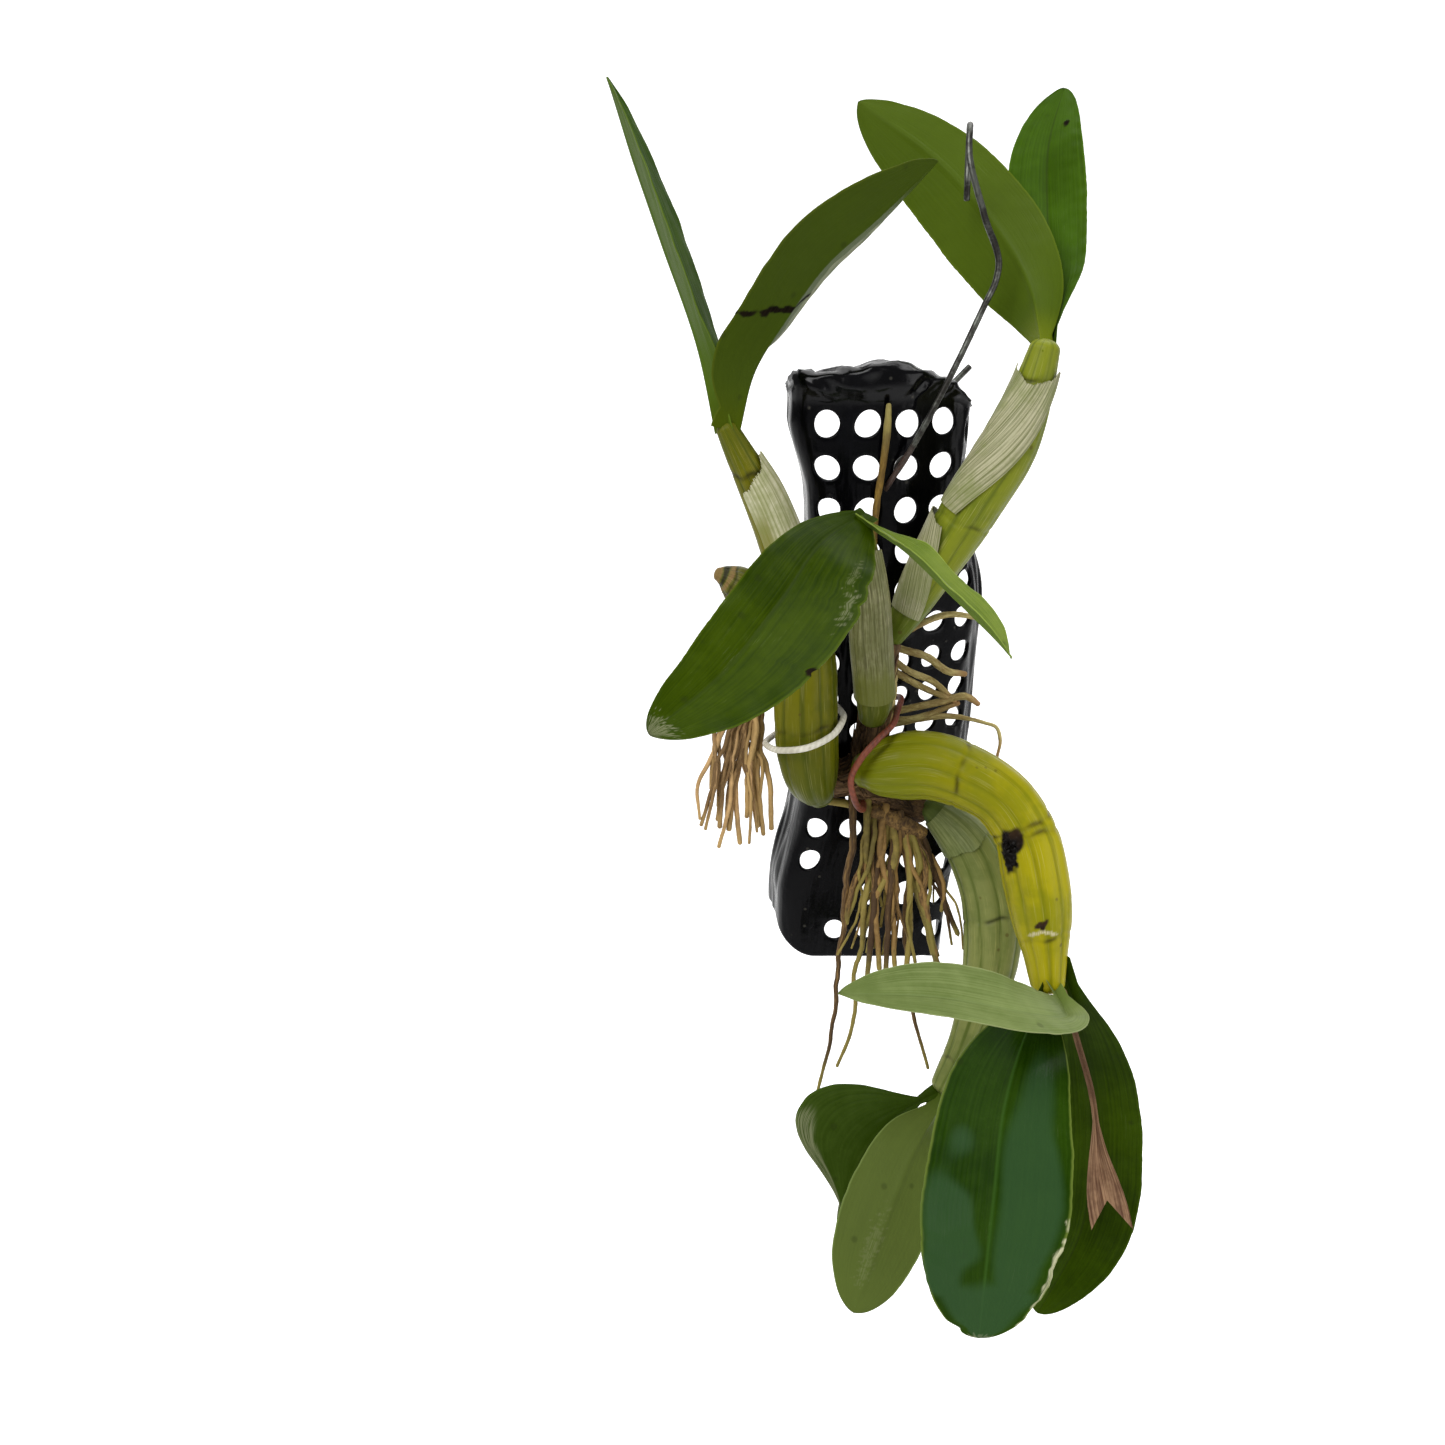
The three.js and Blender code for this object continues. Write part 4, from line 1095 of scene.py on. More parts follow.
    def atlas(self) -> Patchwork:
        """The whole sheet: each hole's cell, plain cells, margins, and rounded walls round the border."""
        work = Patchwork()
        half_across, half_down, wall = self.pitch_across / 2, self.pitch_down / 2, self.thickness
        draws = dice(7, self.rows * self.columns * 2).reshape(self.columns, self.rows, 2)
        fine = self.around // 8
        bend = (np.tan(np.linspace(-math.pi / 4, math.pi / 4, 2 * fine + 1)) + 1) / 2
        for i in range(self.columns):
            for j in range(self.rows):
                if any(i == at and first <= j <= last for at, first, last in self.closed):
                    across, down = (bend - 0.5 + i) * self.pitch_across, (bend - 0.5 + j) * self.pitch_down
                    work.both_sides(across, down, wall)
                else:
                    work.add(self.hole(i, j, draws[i, j]), wrap=True)
        across = [-half_across + (i + k) * self.pitch_across for i in range(self.columns) for k in bend[:-1]]
        across.append(self.columns * self.pitch_across - half_across)
        down = [-half_down + (j + k) * self.pitch_down for j in range(self.rows) for k in bend[:-1]]
        down.append(self.rows * self.pitch_down - half_down)
        top = list(np.linspace(-half_down - self.curl, -half_down, 25))
        foot = list(np.linspace(down[-1], down[-1] + self.foot, 6))
        left = list(np.linspace(self.left, -half_across, 10))
        right = list(np.linspace(across[-1], self.right, 9))
        wide = left[:-1] + across + right[1:]
        for lines, columns in ((top, wide), (foot, wide), (down, left), (down, right)):
            work.both_sides(columns, lines, wall)
        tall = top[:-1] + down + foot[1:]
        ring = np.array(
            [(a, top[0]) for a in wide[:-1]] + [(self.right, d) for d in tall[:-1]]
            + [(a, foot[-1]) for a in wide[:0:-1]] + [(self.left, d) for d in tall[:0:-1]]
        )
        out = np.zeros_like(ring)
        out[:, 0] = np.where(ring[:, 0] <= self.left, -1, np.where(ring[:, 0] >= self.right, 1, 0))
        out[:, 1] = np.where(ring[:, 1] <= top[0], -1, np.where(ring[:, 1] >= foot[-1], 1, 0))
        work.add(np.stack([
            np.concatenate([ring + out * bulge, np.full((len(ring), 1), depth)], axis=1)
            for depth, bulge in ((0.0, 0.0), (0.35, 0.5), (wall / 2, 0.75), (wall - 0.35, 0.5), (wall, 0.0))
        ]), wrap=True)
        return work

    def build_shell(self) -> None:
        """Lay the atlas on the sheet and make the piece."""
        known, corners = self.atlas().merged()
        surface = Surface()
        surface.add(self.skin(known[:, 0], known[:, 1], known[:, 2]), {})
        uv = known[:, :2] / 330.0
        surface.faces.append((corners, uv[corners]))
        surface.build("shell_body", self.plastic, "mount_shell")

    def hook_row(self, degrees: float, drop: float = 0.0) -> list[float]:
        """A place on the hook's round line, by its angle past the crown and moved down by a drop."""
        line, inner, turn = 11.5, 10.0, 0.2
        out = line * math.sin(math.radians(degrees))
        up = line * math.cos(math.radians(degrees)) - inner - drop
        return [out * math.sin(turn), out * math.cos(turn), up]

    def build_wire(self) -> None:
        """Wire from the hook's tip over its crown, down before the shell, through it and up behind it."""
        hook = self.hook_row
        rows = [
            [3, 14, -27], hook(90, 9), *(hook(degrees) for degrees in range(90, -90, -30)), hook(-90, 1),
            [6, -12, -40], [13.6, -12.5, -63], [12.5, -12.5, -69], [8, -12.5, -79], [-8, -12, -114],
            [-26, -3.5, -150], [-33, 5, -163], [-33.5, 13, -168], [-30, 17.5, -160], [-15, 19, -134],
            [-2, 20, -115], [9.5, 21, -103],
        ]
        path = Path([[*row, 1.5] for row in rows])

        def rust(share: Array, angle: Array, places: Array) -> Masks:
            """Rust grows near the place where the wire goes through the shell."""
            gap = np.linalg.norm(places - np.array([-30, 2, -158]), axis=-1)
            return {Mark.BURN: 1 - smooth(9, 26, gap + 5 * ripple(places, 9, 3))}

        surface = Surface()
        surface.tube(
            path, 420, 14, ends=(0.3, 0.3), swell=knobs((0.05, 5, 8), (0.03, 1.6, 9)), masks=rust,
        )
        surface.build("wire_body", self.zinc, "hanger_wire")

    def build(self) -> None:
        """Make the shell and its wire."""
        self.build_shell()
        self.build_wire()


# Bulbs


@dataclass
class RibbedBulb:
    """Horn-shaped bulb with long ribs, ring creases where leaves sat, and scars.

    Shares count along the bulb, angles and turns round it from its front.
    """

    key: str
    finish: Finish
    rings: Sequence[float]
    seed: int
    rib_height: float = 0.035
    blemishes: Sequence[Blemish] = ()
    ends: tuple[float, float] = (0.7, 0.7)
    ribs: int = 9
    lumps: float = 0.012
    ring_width: float = 0.0065
    steps: int = 190
    sides: int = 144

    def profile(self, share: Array, angle: Array) -> Array:
        """Height of the ribs in -1..1: rounded crowns and narrow furrows, which wander a little."""
        wander = 0.16 * ripple(grid(share * 3, np.cos(angle), np.sin(angle)), 2.6, self.seed)
        crown = np.abs(np.cos((angle + wander) * self.ribs / 2)) ** 0.7
        return 2 * crown - 1

    def creases(self, share: Array, angle: Array) -> Array:
        """Depth of the ring creases in 0..1: narrow bells, slanted a little round the bulb."""
        total = np.zeros_like(share)
        for number, ring in enumerate(self.rings):
            slant = 0.012 * np.sin(angle + number * 2.1) + 0.004 * np.sin(5 * angle + number)
            total = total + np.exp(-(((share - ring - slant) / self.ring_width) ** 2))
        return np.clip(total, 0, 1)

    @staticmethod
    def across(spot: Blemish, angle: Array) -> Array:
        """Turns round the bulb, counted the short way from a spot's own place."""
        apart = angle / TURN - spot.across
        return spot.across + apart - np.round(apart)

    def swell(self, share: Array, angle: Array, places: Array) -> Array:
        """Ribs, broad lumps, creases and rough scars.

        Args:
            share: shares of the length.
            angle: angles round the bulb.
            places: places on the smooth bulb.

        Returns:
            Shares of the radius.
        """
        fade = smooth(0.0, 0.06, share) * (1 - 0.6 * smooth(0.86, 1, share))
        ribs = self.rib_height * self.profile(share, angle) * (0.35 + 0.65 * fade)
        lumps = self.lumps * ripple(places, 22, self.seed + 5) + 0.004 * ripple(places, 5, self.seed + 6)
        scars = sum(
            (-0.05 if spot.mark is Mark.BURN else 0.01)
            * spot.cover(share, self.across(spot, angle), places) * ripple(places, 3, 4)
            for spot in self.blemishes
        )
        return ribs + lumps - 0.03 * self.creases(share, angle) + scars

    def masks(self, share: Array, angle: Array, places: Array) -> Masks:
        """Furrows, broken dark crease lines and the listed blemishes.

        Args:
            share: shares of the length.
            angle: angles round the bulb.
            places: places on the bulb.

        Returns:
            The masks.
        """
        broken = smooth(-0.3, 0.6, ripple(places, 16, self.seed + 9))
        found = {
            Mark.GROOVE: np.clip(0.5 - 0.5 * self.profile(share, angle), 0, 1),
            Mark.BURN: 0.75 * self.creases(share, angle) * broken,
        }
        for spot in self.blemishes:
            lay(found, spot.mark, spot.cover(share, self.across(spot, angle), places))
        return found

    def build(self) -> None:
        """Make the bulb."""
        surface = Surface()
        surface.tube(
            Path(BULB_ROWS[self.key]), self.steps, self.sides, self.ends, 12, self.swell, self.masks,
        )
        surface.build(f"bulb_{self.key}_skin", self.finish, f"bulb_{self.key}")


BULB_ROWS: dict[str, Rows] = {
    "left": [
        [-62, 20, -326, 8], [-66, 13, -318, 12.5], [-70, 6, -300, 15.8], [-72, 1, -275, 16.2],
        [-73, -3, -245, 14.8], [-79, -7, -212, 12], [-88, -12, -185, 10.8], [-97, -18, -165, 9.5],
        [-106, -24, -149, 7], [-113, -28, -136, 5.2],
    ],
    "centre": [
        [-36, 8, -280, 7.5], [-36, 3, -271, 9.2], [-37.5, -2, -258, 9.4], [-40.5, -9, -236, 9.6],
        [-43.5, -19, -214, 8.6], [-48, -31, -194, 7], [-51.5, -40, -178, 5],
    ],
    "right": [
        [-26, 12, -238, 6], [-20, 8, -226, 8.5], [-10, 2, -205, 11.5], [8, -10, -170, 13.8],
        [22, -19, -142, 13], [29.5, -24, -118, 9.6], [33, -27, -101, 7.2],
    ],
    "yellow": [
        [-39, 14, -311, 9.5], [-33, 11.5, -310, 13.5], [-22, 8.5, -307.5, 17], [-5, 4.5, -306, 17.7],
        [12.5, -2, -310.5, 16.6], [29.5, -9, -320, 15.6], [41.5, -15.5, -338, 15.8],
        [47, -20, -361, 16.5], [50.5, -23, -383, 14.6], [52.5, -25, -399, 11.2], [54, -27, -414, 8.8],
    ],
    "green": [
        [2, 31, -337, 7.5], [9, 29, -343, 10], [21, 24, -356, 13.2], [32, 17, -380, 15.2],
        [34, 10, -407, 15.2], [29, 3, -433, 13], [18, -4, -462, 9], [7, -8, -484, 7],
    ],
    "stub": [
        [-81, 24, -269, 6.5], [-86, 21, -256, 8], [-92, 18, -239, 10.2], [-100.6, 17, -219.1, 11.2],
        [-104.8, 15.5, -213.7, 10.6], [-109.6, 14, -209.9, 8.8], [-114.2, 13, -207.3, 5.6],
        [-117.3, 12.5, -206.2, 3.4],
    ],
}


def bulb_skin(name: str, rib: Shade, furrow: Shade, flush: Shade, slot: str = "bulb_old", **more) -> Bulb:
    """A bulb's finish from its three shades on screen."""
    three = {"rib": srgb(*rib), "furrow": srgb(*furrow), "flush": srgb(*flush)}
    return Bulb(f"{name}_bulb_skin", slot, **three, **more)


def bulbs() -> list[RibbedBulb]:
    """The six bulbs with their finishes, creases and scars."""
    old = bulb_skin("old", (100, 98, 10), (76, 80, 8), (72, 80, 8))
    right = bulb_skin("long", (116, 124, 28), (90, 100, 24), (84, 98, 26), shift=4.0)
    centre = bulb_skin("short", (98, 98, 26), (66, 72, 12), (72, 80, 18), shift=2.0)
    yellow = bulb_skin(
        "yellow", (160, 151, 16), (130, 126, 10), (112, 118, 12), slot="bulb_yellow",
        spread=0.5, shift=5.0, roughness=0.32, green_to=0.55,
    )
    green = bulb_skin(
        "green", (126, 132, 74), (92, 104, 46), (84, 98, 44), slot="bulb_green", spread=0.5, shift=7.0,
    )
    stub = bulb_skin("stub", (84, 84, 26), (68, 70, 20), (76, 64, 30), shift=9.0, worn=srgb(140, 108, 72))
    return [
        RibbedBulb("left", old, rings=(0.24, 0.42, 0.9), seed=11),
        RibbedBulb("centre", centre, rings=(0.3, 0.62), seed=12),
        RibbedBulb("right", right, rings=(0.45, 0.9), rib_height=0.015, seed=13),
        RibbedBulb(
            "yellow", yellow, rings=(0.3, 0.52, 0.56, 0.855), seed=14,
            blemishes=(
                Blemish(Mark.BURN, 0.548, 0.04, 0.042, 0.075, ragged=0.3, grain=9),
                Blemish(Mark.BURN, 0.59, 0.085, 0.062, 0.05, ragged=0.3, grain=6),
                Blemish(Mark.PALE, 0.829, 1.01, 0.0065, 0.055, ragged=0.12, grain=9, slant=0.15),
                Blemish(Mark.PALE, 0.829, 0.94, 0.0065, 0.055, ragged=0.12, grain=9, slant=-0.15),
                Blemish(Mark.BURN, 0.803, 0.975, 0.016, 0.03, ragged=0.6, grain=4),
            ),
        ),
        RibbedBulb("green", green, rings=(0.42, 0.72, 0.92), seed=15),
        RibbedBulb(
            "stub", stub, rings=(0.5, 0.68, 0.81, 0.9, 0.955), seed=16, ends=(0.6, 0.6),
            blemishes=(
                Blemish(Mark.PALE, 1.0, 0.5, 0.02, 9.0, ragged=0.3, grain=5, power=0.7),
                Blemish(Mark.BURN, 0.962, 0.5, 0.012, 9.0, ragged=0.3, grain=5, power=0.8),
                Blemish(Mark.PALE, 0.93, 0.5, 0.014, 9.0, ragged=0.2, grain=5, power=0.7),
                Blemish(Mark.PALE, 0.78, 0.5, 0.026, 9.0, ragged=0.2, grain=6, power=0.85),
                Blemish(Mark.PALE, 0.6, 0.5, 0.02, 9.0, ragged=0.5, grain=6, power=0.5),
            ),
        ),
    ]


# Leaves


@dataclass
class Blade:
    """Strap leaf along a curve, folded to a shallow V, with a narrow foot that clasps its bulb.

    Faces are where the upper face looks at the foot and at the tip; halves are the left and right half
    widths, and fold is how steeply each half rises at the foot and further on, in degrees. U counts along
    the blade from its foot, v across it in -1..1. A nick is a place along, a side, a length and a depth.
    """

    key: str
    rows: Rows
    faces: Rows
    halves: tuple[float, float]
    fold: tuple[float, float]
    finish: Finish
    seed: int
    foot: float = 0.42
    belly: float = 0.52
    tip: float = 0.56
    flare: float = 1.0
    wave: float = 0.0
    fork: float = 0.0
    least: float = 0.05
    thickness: float = 1.5
    blemishes: Sequence[Blemish] = ()
    nicks: Rows = ()
    steps: int = 220
    strips: int = 72
    node: Optional[str] = None

    def outline(self, share: Array) -> Array:
        """Half width over the length, as a share of its largest: narrow foot, round belly and tip."""
        low = np.clip((self.belly - share) / self.belly, 0, 1) ** 2.1
        high = np.clip((share - self.belly) / (1 - self.belly), 0, 1) ** 2.2
        body = np.where(share < self.belly, (1 - low) ** 0.8, (1 - high) ** self.tip) ** self.flare
        ends = self.least * (1 - smooth(0.985, 1, share)) + 0.012
        return np.maximum(np.maximum(body, self.foot * (1 - smooth(0, 0.3, share))), ends)

    def half_width(self, u: Array, v: Array, length: float) -> Array:
        """The outline at full size, made uneven by ripples and cut in by the nicks.

        Args:
            u: place along the blade, one row each.
            v: place across it, one column each.
            length: the blade's length.

        Returns:
            Half widths in millimetres.
        """
        rim = grid(u * length, np.sign(v) * 30.0, 0.0)
        half = np.where(v < 0, self.halves[0], self.halves[1])[None] * self.outline(u)
        half = half * (1 + 0.012 * ripple(rim, 21, self.seed + 1) + 0.006 * ripple(rim, 5, self.seed + 2))
        for at, which, long, deep in self.nicks:
            bite = np.clip(1 - np.abs((u - at) / long) ** 1.5, 0, 1) * (v * which > 0)
            bite = bite * (0.75 + 0.25 * ripple(rim, 3, self.seed + 4))
            half = half * (1 - deep * bite)
        return half

    def lift(self, u: Array, v: Array, rise: Array, flat: Array) -> Array:
        """Height of the middle sheet: the V with a rounded bottom, waves of the margins and soft bumps.

        Args:
            u: place along the blade, one row each.
            v: place across it, one column each.
            rise: how high the V stands at the margin.
            flat: places on the blade laid flat.

        Returns:
            Heights in millimetres.
        """
        crease = np.sqrt(v**2 + 0.05**2) - 0.05
        wave = self.wave * np.sin(u * 15 + np.where(v < 0, 1, 3)) * v * v
        bumps = 0.5 * ripple(flat, 42, self.seed) * np.abs(v)
        return rise * crease + wave + bumps + 0.3 * ripple(flat, 12, self.seed + 3) * v * v

    def build(self) -> None:
        """Work out both faces of the blade and make the piece.

        A place is the middle line, plus the across vector times the half width, plus the face vector
        times the lift and half the skin's thickness, with fine veins above and a midrib below.
        """
        even = np.linspace(0, 1, self.steps + 1)
        share = even + (0.5 - 0.5 * np.cos(math.pi * even) - even) * np.where(even > 0.5, 0.85, 0.35)
        path = Path(self.rows)
        rows, ahead, _, _ = path.frames(share, self.faces[0])
        first, last = np.asarray(self.faces[0], float), np.asarray(self.faces[1], float)
        wanted = first + (last - first) * share[:, None]
        face = unit(wanted - (wanted * ahead).sum(axis=1, keepdims=True) * ahead)
        over = np.cross(face, ahead)
        v = np.sin(np.linspace(-math.pi / 2, math.pi / 2, self.strips + 1))
        u = share[:, None]
        half = self.half_width(u, v, path.length)
        flat = grid(u * path.length, v * 26, 0.0)
        close = np.radians(self.fold[0] + (self.fold[1] - self.fold[0]) * smooth(0, 0.35, u))
        rib = 0.35 * np.exp(-((v * half / 1.6) ** 2)) * (1 - smooth(0.75, 1, u))
        veins = 0.07 * np.cos(v * 17 * math.pi) * np.clip(1 - np.abs(v), 0, 1) * smooth(0.02, 0.2, u)
        lift = self.lift(u, v, half * np.sin(close), flat)
        middle = (
            rows[:, None, :3]
            + over[:, None] * (half * np.cos(close) * v)[..., None]
            + face[:, None] * (lift - rib)[..., None]
            - ahead[:, None] * (self.fork * smooth(0.62, 1, u) * (1 - np.abs(v)))[..., None]
        )
        skin = self.thickness * (1 - 0.72 * v**2) / 2 * (1 - 0.55 * smooth(0.75, 1, u)) * np.ones_like(half)
        places_u, places_v = np.broadcast_arrays(u, v)
        found: Masks = {}
        for spot in self.blemishes:
            lay(found, spot.mark, spot.cover(places_u, places_v, flat))
        crust = 0.5 * found.get(Mark.BURN, 0) * np.abs(ripple(flat, 2.2, 5)) * self.thickness
        upper = middle + face[:, None] * (skin + veins + crust)[..., None]
        lower = middle - face[:, None] * (skin - veins * 0.6 + rib * 1.4)[..., None]
        under = {mark: cover for mark, cover in found.items() if mark is not Mark.WET_SHEEN}
        under[Mark.UNDER] = np.ones(half.shape)
        surface = Surface()
        surface.slab(upper, lower, grid((v + 1) / 2, u), found, under, flip=True)
        surface.build(f"{self.key}_blade", self.finish, self.node or f"leaf_{self.key}")


def leaf_skins() -> dict[str, Leaf]:
    """Finishes of the leaves; their shades are dark, light, under, foot and margin."""
    skins: dict[str, Leaf] = {}

    def skin(name: str, shades: Sequence[Shade], slot: str = "leaf_dark", **more) -> None:
        """Add one, with its pattern shifted by one more than the last."""
        parts = ("dark", "light", "under", "foot", "margin")
        given = {part: srgb(*shade) for part, shade in zip(parts, shades)}
        skins[name] = Leaf(f"leaf_skin_{name}", slot, shift=float(len(skins) + 1), **given, **more)

    skin("narrow", ((44, 68, 12), (66, 92, 24), (70, 92, 22), (66, 80, 8), (84, 104, 30)))
    skin("arched", ((42, 56, 2), (64, 78, 10), (62, 78, 14), (62, 74, 4), (74, 86, 18)), scuffs=0.3)
    skin("lit", ((54, 68, 4), (68, 82, 8), (68, 86, 14), (110, 122, 16), (80, 96, 18)))
    skin("fresh", ((42, 66, 2), (58, 88, 8), (60, 84, 10), (40, 58, 4), (70, 100, 12)))
    skin("broad", ((28, 45, 0), (52, 69, 1), (74, 92, 26), (36, 52, 0), (70, 86, 14)),
         scuffs=0.25, roughness=0.3)
    skin("light", ((84, 104, 30), (112, 128, 48), (96, 118, 44), (64, 84, 10), (142, 160, 74)),
         slot="leaf_light", midrib=srgb(92, 112, 40), scuffs=0.4)
    skin("low", ((34, 52, 0), (54, 76, 2), (60, 78, 20), (56, 78, 4), (62, 84, 12)))
    skin("front", ((22, 46, 0), (40, 66, 8), (60, 78, 20), (40, 66, 6), (104, 120, 50)),
         midrib=srgb(54, 86, 30), roughness=0.24)
    # painted sheen: the pale leaf's shades are its green washed out by a painted reflection of the sky on its
    # upper face
    skin("pale", ((92, 108, 54), (124, 138, 84), (112, 128, 74), (100, 118, 50), (140, 150, 100)),
         slot="leaf_light", midrib=srgb(110, 126, 76), roughness=0.42)
    skin("back", ((40, 58, 8), (56, 74, 22), (84, 100, 44), (52, 72, 10), (60, 80, 24)), roughness=0.28)
    skin("under", ((46, 60, 14), (64, 80, 26), (84, 98, 42), (76, 94, 30), (112, 128, 70)),
         slot="leaf_light", scuffs=0.25, roughness=0.4)
    return skins


def leaves() -> list[Blade]:
    """The eleven leaves with their nicks and worn places."""
    skins = leaf_skins()
    return [
        Blade(
            "left_narrow",
            [[-117, -27, -138], [-125, -25, -101], [-142, -23, -53], [-166, -24, 14]],
            faces=[[1, -0.15, 0.3], [1, -0.2, 0.5]], halves=(22, 22), fold=(60, 20),
            finish=skins["narrow"], tip=0.85, seed=21,
        ),
        Blade(
            "left_arched",
            [[-108.5, -30, -138], [-101, -32, -110], [-87, -35, -88], [-70, -38, -66], [-50, -41, -49],
             [-22, -42, -25]],
            faces=[[-0.8, 0.3, 0.2], [-0.4, 0.35, 0.85]], halves=(30, 26), fold=(60, 16),
            finish=skins["arched"], belly=0.45, tip=0.75, seed=22,
            blemishes=(
                Blemish(Mark.BURN, 0.395, -0.15, 0.013, 0.95, ragged=0.7, grain=5, slant=0.115),
                # painted sheen: a pale grey strip on the right half of the blade
                Blemish(Mark.PALE, 0.5, 0.75, 0.3, 0.2, ragged=0.6, grain=14, power=0.4),
            ),
        ),
        Blade(
            "right_broad",
            [[31, -33, -103], [30, -9, -71], [17, 21, -35], [-7, 44, -1], [-45, 63, 32]],
            faces=[[0.35, 0.8, -0.1], [0.35, 0.8, -0.2]], halves=(27, 22), fold=(60, 16),
            finish=skins["lit"], tip=0.62, seed=23,
        ),
        Blade(
            "right_back",
            [[37, -22, -104], [45, 8, -68], [49, 38, -27], [54, 60, 12], [64, 74, 42]],
            faces=[[-0.4, -0.7, 0.5], [-0.35, -0.8, 0.5]], halves=(20, 20), fold=(60, 14),
            finish=skins["fresh"], belly=0.6, tip=0.65, seed=24,
            blemishes=(Blemish(Mark.BURN, 0.86, -0.5, 0.012, 0.09, ragged=0.4, grain=4),),
        ),
        Blade(
            "centre_broad",
            [[-49, -41, -174.5], [-70, -66, -186], [-92, -98, -211], [-117, -127, -237], [-143, -148, -255]],
            faces=[[0.12, -0.65, 0.73], [0.1, -0.6, 0.78]], halves=(19, 35), fold=(4, 16),
            finish=skins["broad"], wave=0.5, foot=0.2, seed=25,
            blemishes=(
                Blemish(Mark.PALE, 0.33, 0.74, 0.06, 0.05, ragged=1.2, grain=2.2, power=0.14),
                Blemish(Mark.PALE, 0.44, 0.84, 0.045, 0.06, ragged=1.2, grain=2.2, power=0.2),
                Blemish(Mark.PALE, 0.99, 0.0, 0.04, 0.8, ragged=0.7, grain=3, power=0.3),
                Blemish(Mark.BURN, 0.66, 0.98, 0.015, 0.05, ragged=0.4, grain=4),
            ),
            nicks=((0.36, 1, 0.025, 0.05), (0.43, 1, 0.02, 0.06), (0.66, 1, 0.012, 0.05)),
        ),
        Blade(
            "centre_narrow",
            [[-53, -45, -176], [-38, -68, -186.5], [-24, -103, -202], [-11, -127, -217], [-6, -146, -226]],
            faces=[[0.2, -0.1, 0.95], [0.3, 0.1, 0.9]], halves=(11, 10), fold=(14, 26),
            finish=skins["light"], wave=0.8, tip=0.95, foot=0.2, seed=26,
        ),
        Blade(
            "low_right",
            [[60, -22, -398], [79, -14, -454], [90, -9, -514], [86, -15, -570], [62, -24, -616]],
            faces=[[-0.3, -0.9, 0.1], [-0.2, -0.95, -0.1]], halves=(26, 27), fold=(60, 12),
            finish=skins["low"], wave=0.8, belly=0.58, seed=27,
        ),
        Blade(
            "low_front",
            [[51, -32, -419], [35, -54, -433], [22, -74, -456], [15, -89, -496], [8, -103, -562]],
            faces=[[0.2, -0.7, 0.7], [0.05, -0.95, 0.3]], halves=(37, 37), fold=(60, 9),
            finish=skins["front"], foot=0.3, belly=0.6, seed=28,
            blemishes=(
                # painted reflection: bluish patches where a water film lies on the blade
                Blemish(Mark.WET_SHEEN, 0.62, 0.47, 0.42, 0.42, ragged=0.15, grain=40),
                Blemish(Mark.WET_SHEEN, 0.72, -0.62, 0.22, 0.42, ragged=0.3, grain=20),
                Blemish(Mark.WET_SHEEN, 0.93, 0.0, 0.09, 0.9, ragged=0.3, grain=20),
                Blemish(Mark.PALE, 1.0, 0.0, 0.012, 0.9, ragged=0.5, grain=5, power=0.8),
                Blemish(Mark.PALE, 0.8, 0.99, 0.14, 0.06, ragged=0.5, grain=6),
            ),
            nicks=((0.78, 1, 0.05, 0.05), (0.9, 1, 0.03, 0.07), (0.97, -1, 0.02, 0.2)),
        ),
        Blade(
            "low_pale",
            [[55, -33, -415], [56, -51, -418], [49, -70, -412], [28, -84, -403], [-15, -90, -392],
             [-63, -98, -386]],
            faces=[[0.1, -0.2, 0.95], [0.1, -0.4, 0.9]], halves=(22, 15), fold=(50, 8),
            finish=skins["pale"], foot=0.36, tip=0.8, seed=29,
        ),
        Blade(
            "green_left",
            [[6.8, -7, -488], [-14.3, -13, -496.5], [-33.2, -18, -513.4], [-43.7, -23, -531.4],
             [-49.4, -28, -546.3], [-50.5, -31, -560.1]],
            faces=[[-0.2, -0.75, 0.55], [-0.3, -0.95, 0.15]], halves=(43, 20), fold=(30, 8),
            finish=skins["back"], belly=0.54, tip=1.2, flare=4.5, foot=0.14, seed=30,
            # painted sheen: a pale band along the blade's left margin
            blemishes=(Blemish(Mark.PALE, 0.74, -0.85, 0.22, 0.2, ragged=0.15, grain=30, power=0.28),),
        ),
        Blade(
            "green_under",
            [[8, -12, -488], [-12, -33, -505], [-26, -48, -528], [-38, -60, -553], [-48, -69, -577]],
            faces=[[0, 0.9, -0.3], [0.1, 0.9, -0.4]], halves=(24, 24), fold=(60, 12),
            finish=skins["under"], belly=0.58, seed=31,
            blemishes=(Blemish(Mark.PALE, 0.75, 0.1, 0.12, 0.15, ragged=1.1, grain=2.4, power=0.1),),
        ),
    ]


def flower_sheath() -> Blade:
    """The dried sheath of a past flower stalk, which flares at its end."""
    dry = Fibre(
        "dry_brown_sheath", "flower_sheath", light=srgb(176, 138, 104), dark=srgb(96, 64, 42),
        stain=srgb(84, 52, 34), tip=srgb(150, 116, 84), across=18.0, along=2.5, stained=0.5,
    )
    return Blade(
        "flower_sheath",
        [[62, -30, -417], [71, -31, -447], [79, -33, -473], [85, -37, -511], [91, -45, -545]],
        faces=[[-0.5, -0.8, 0], [-0.3, -0.9, 0.1]], halves=(11, 11), fold=(40, 18),
        finish=dry, foot=0.2, belly=0.97, tip=0.0, flare=14, least=0.14, fork=14,
        thickness=0.9, seed=32, node="flower_sheath",
    )


# Papery sheaths


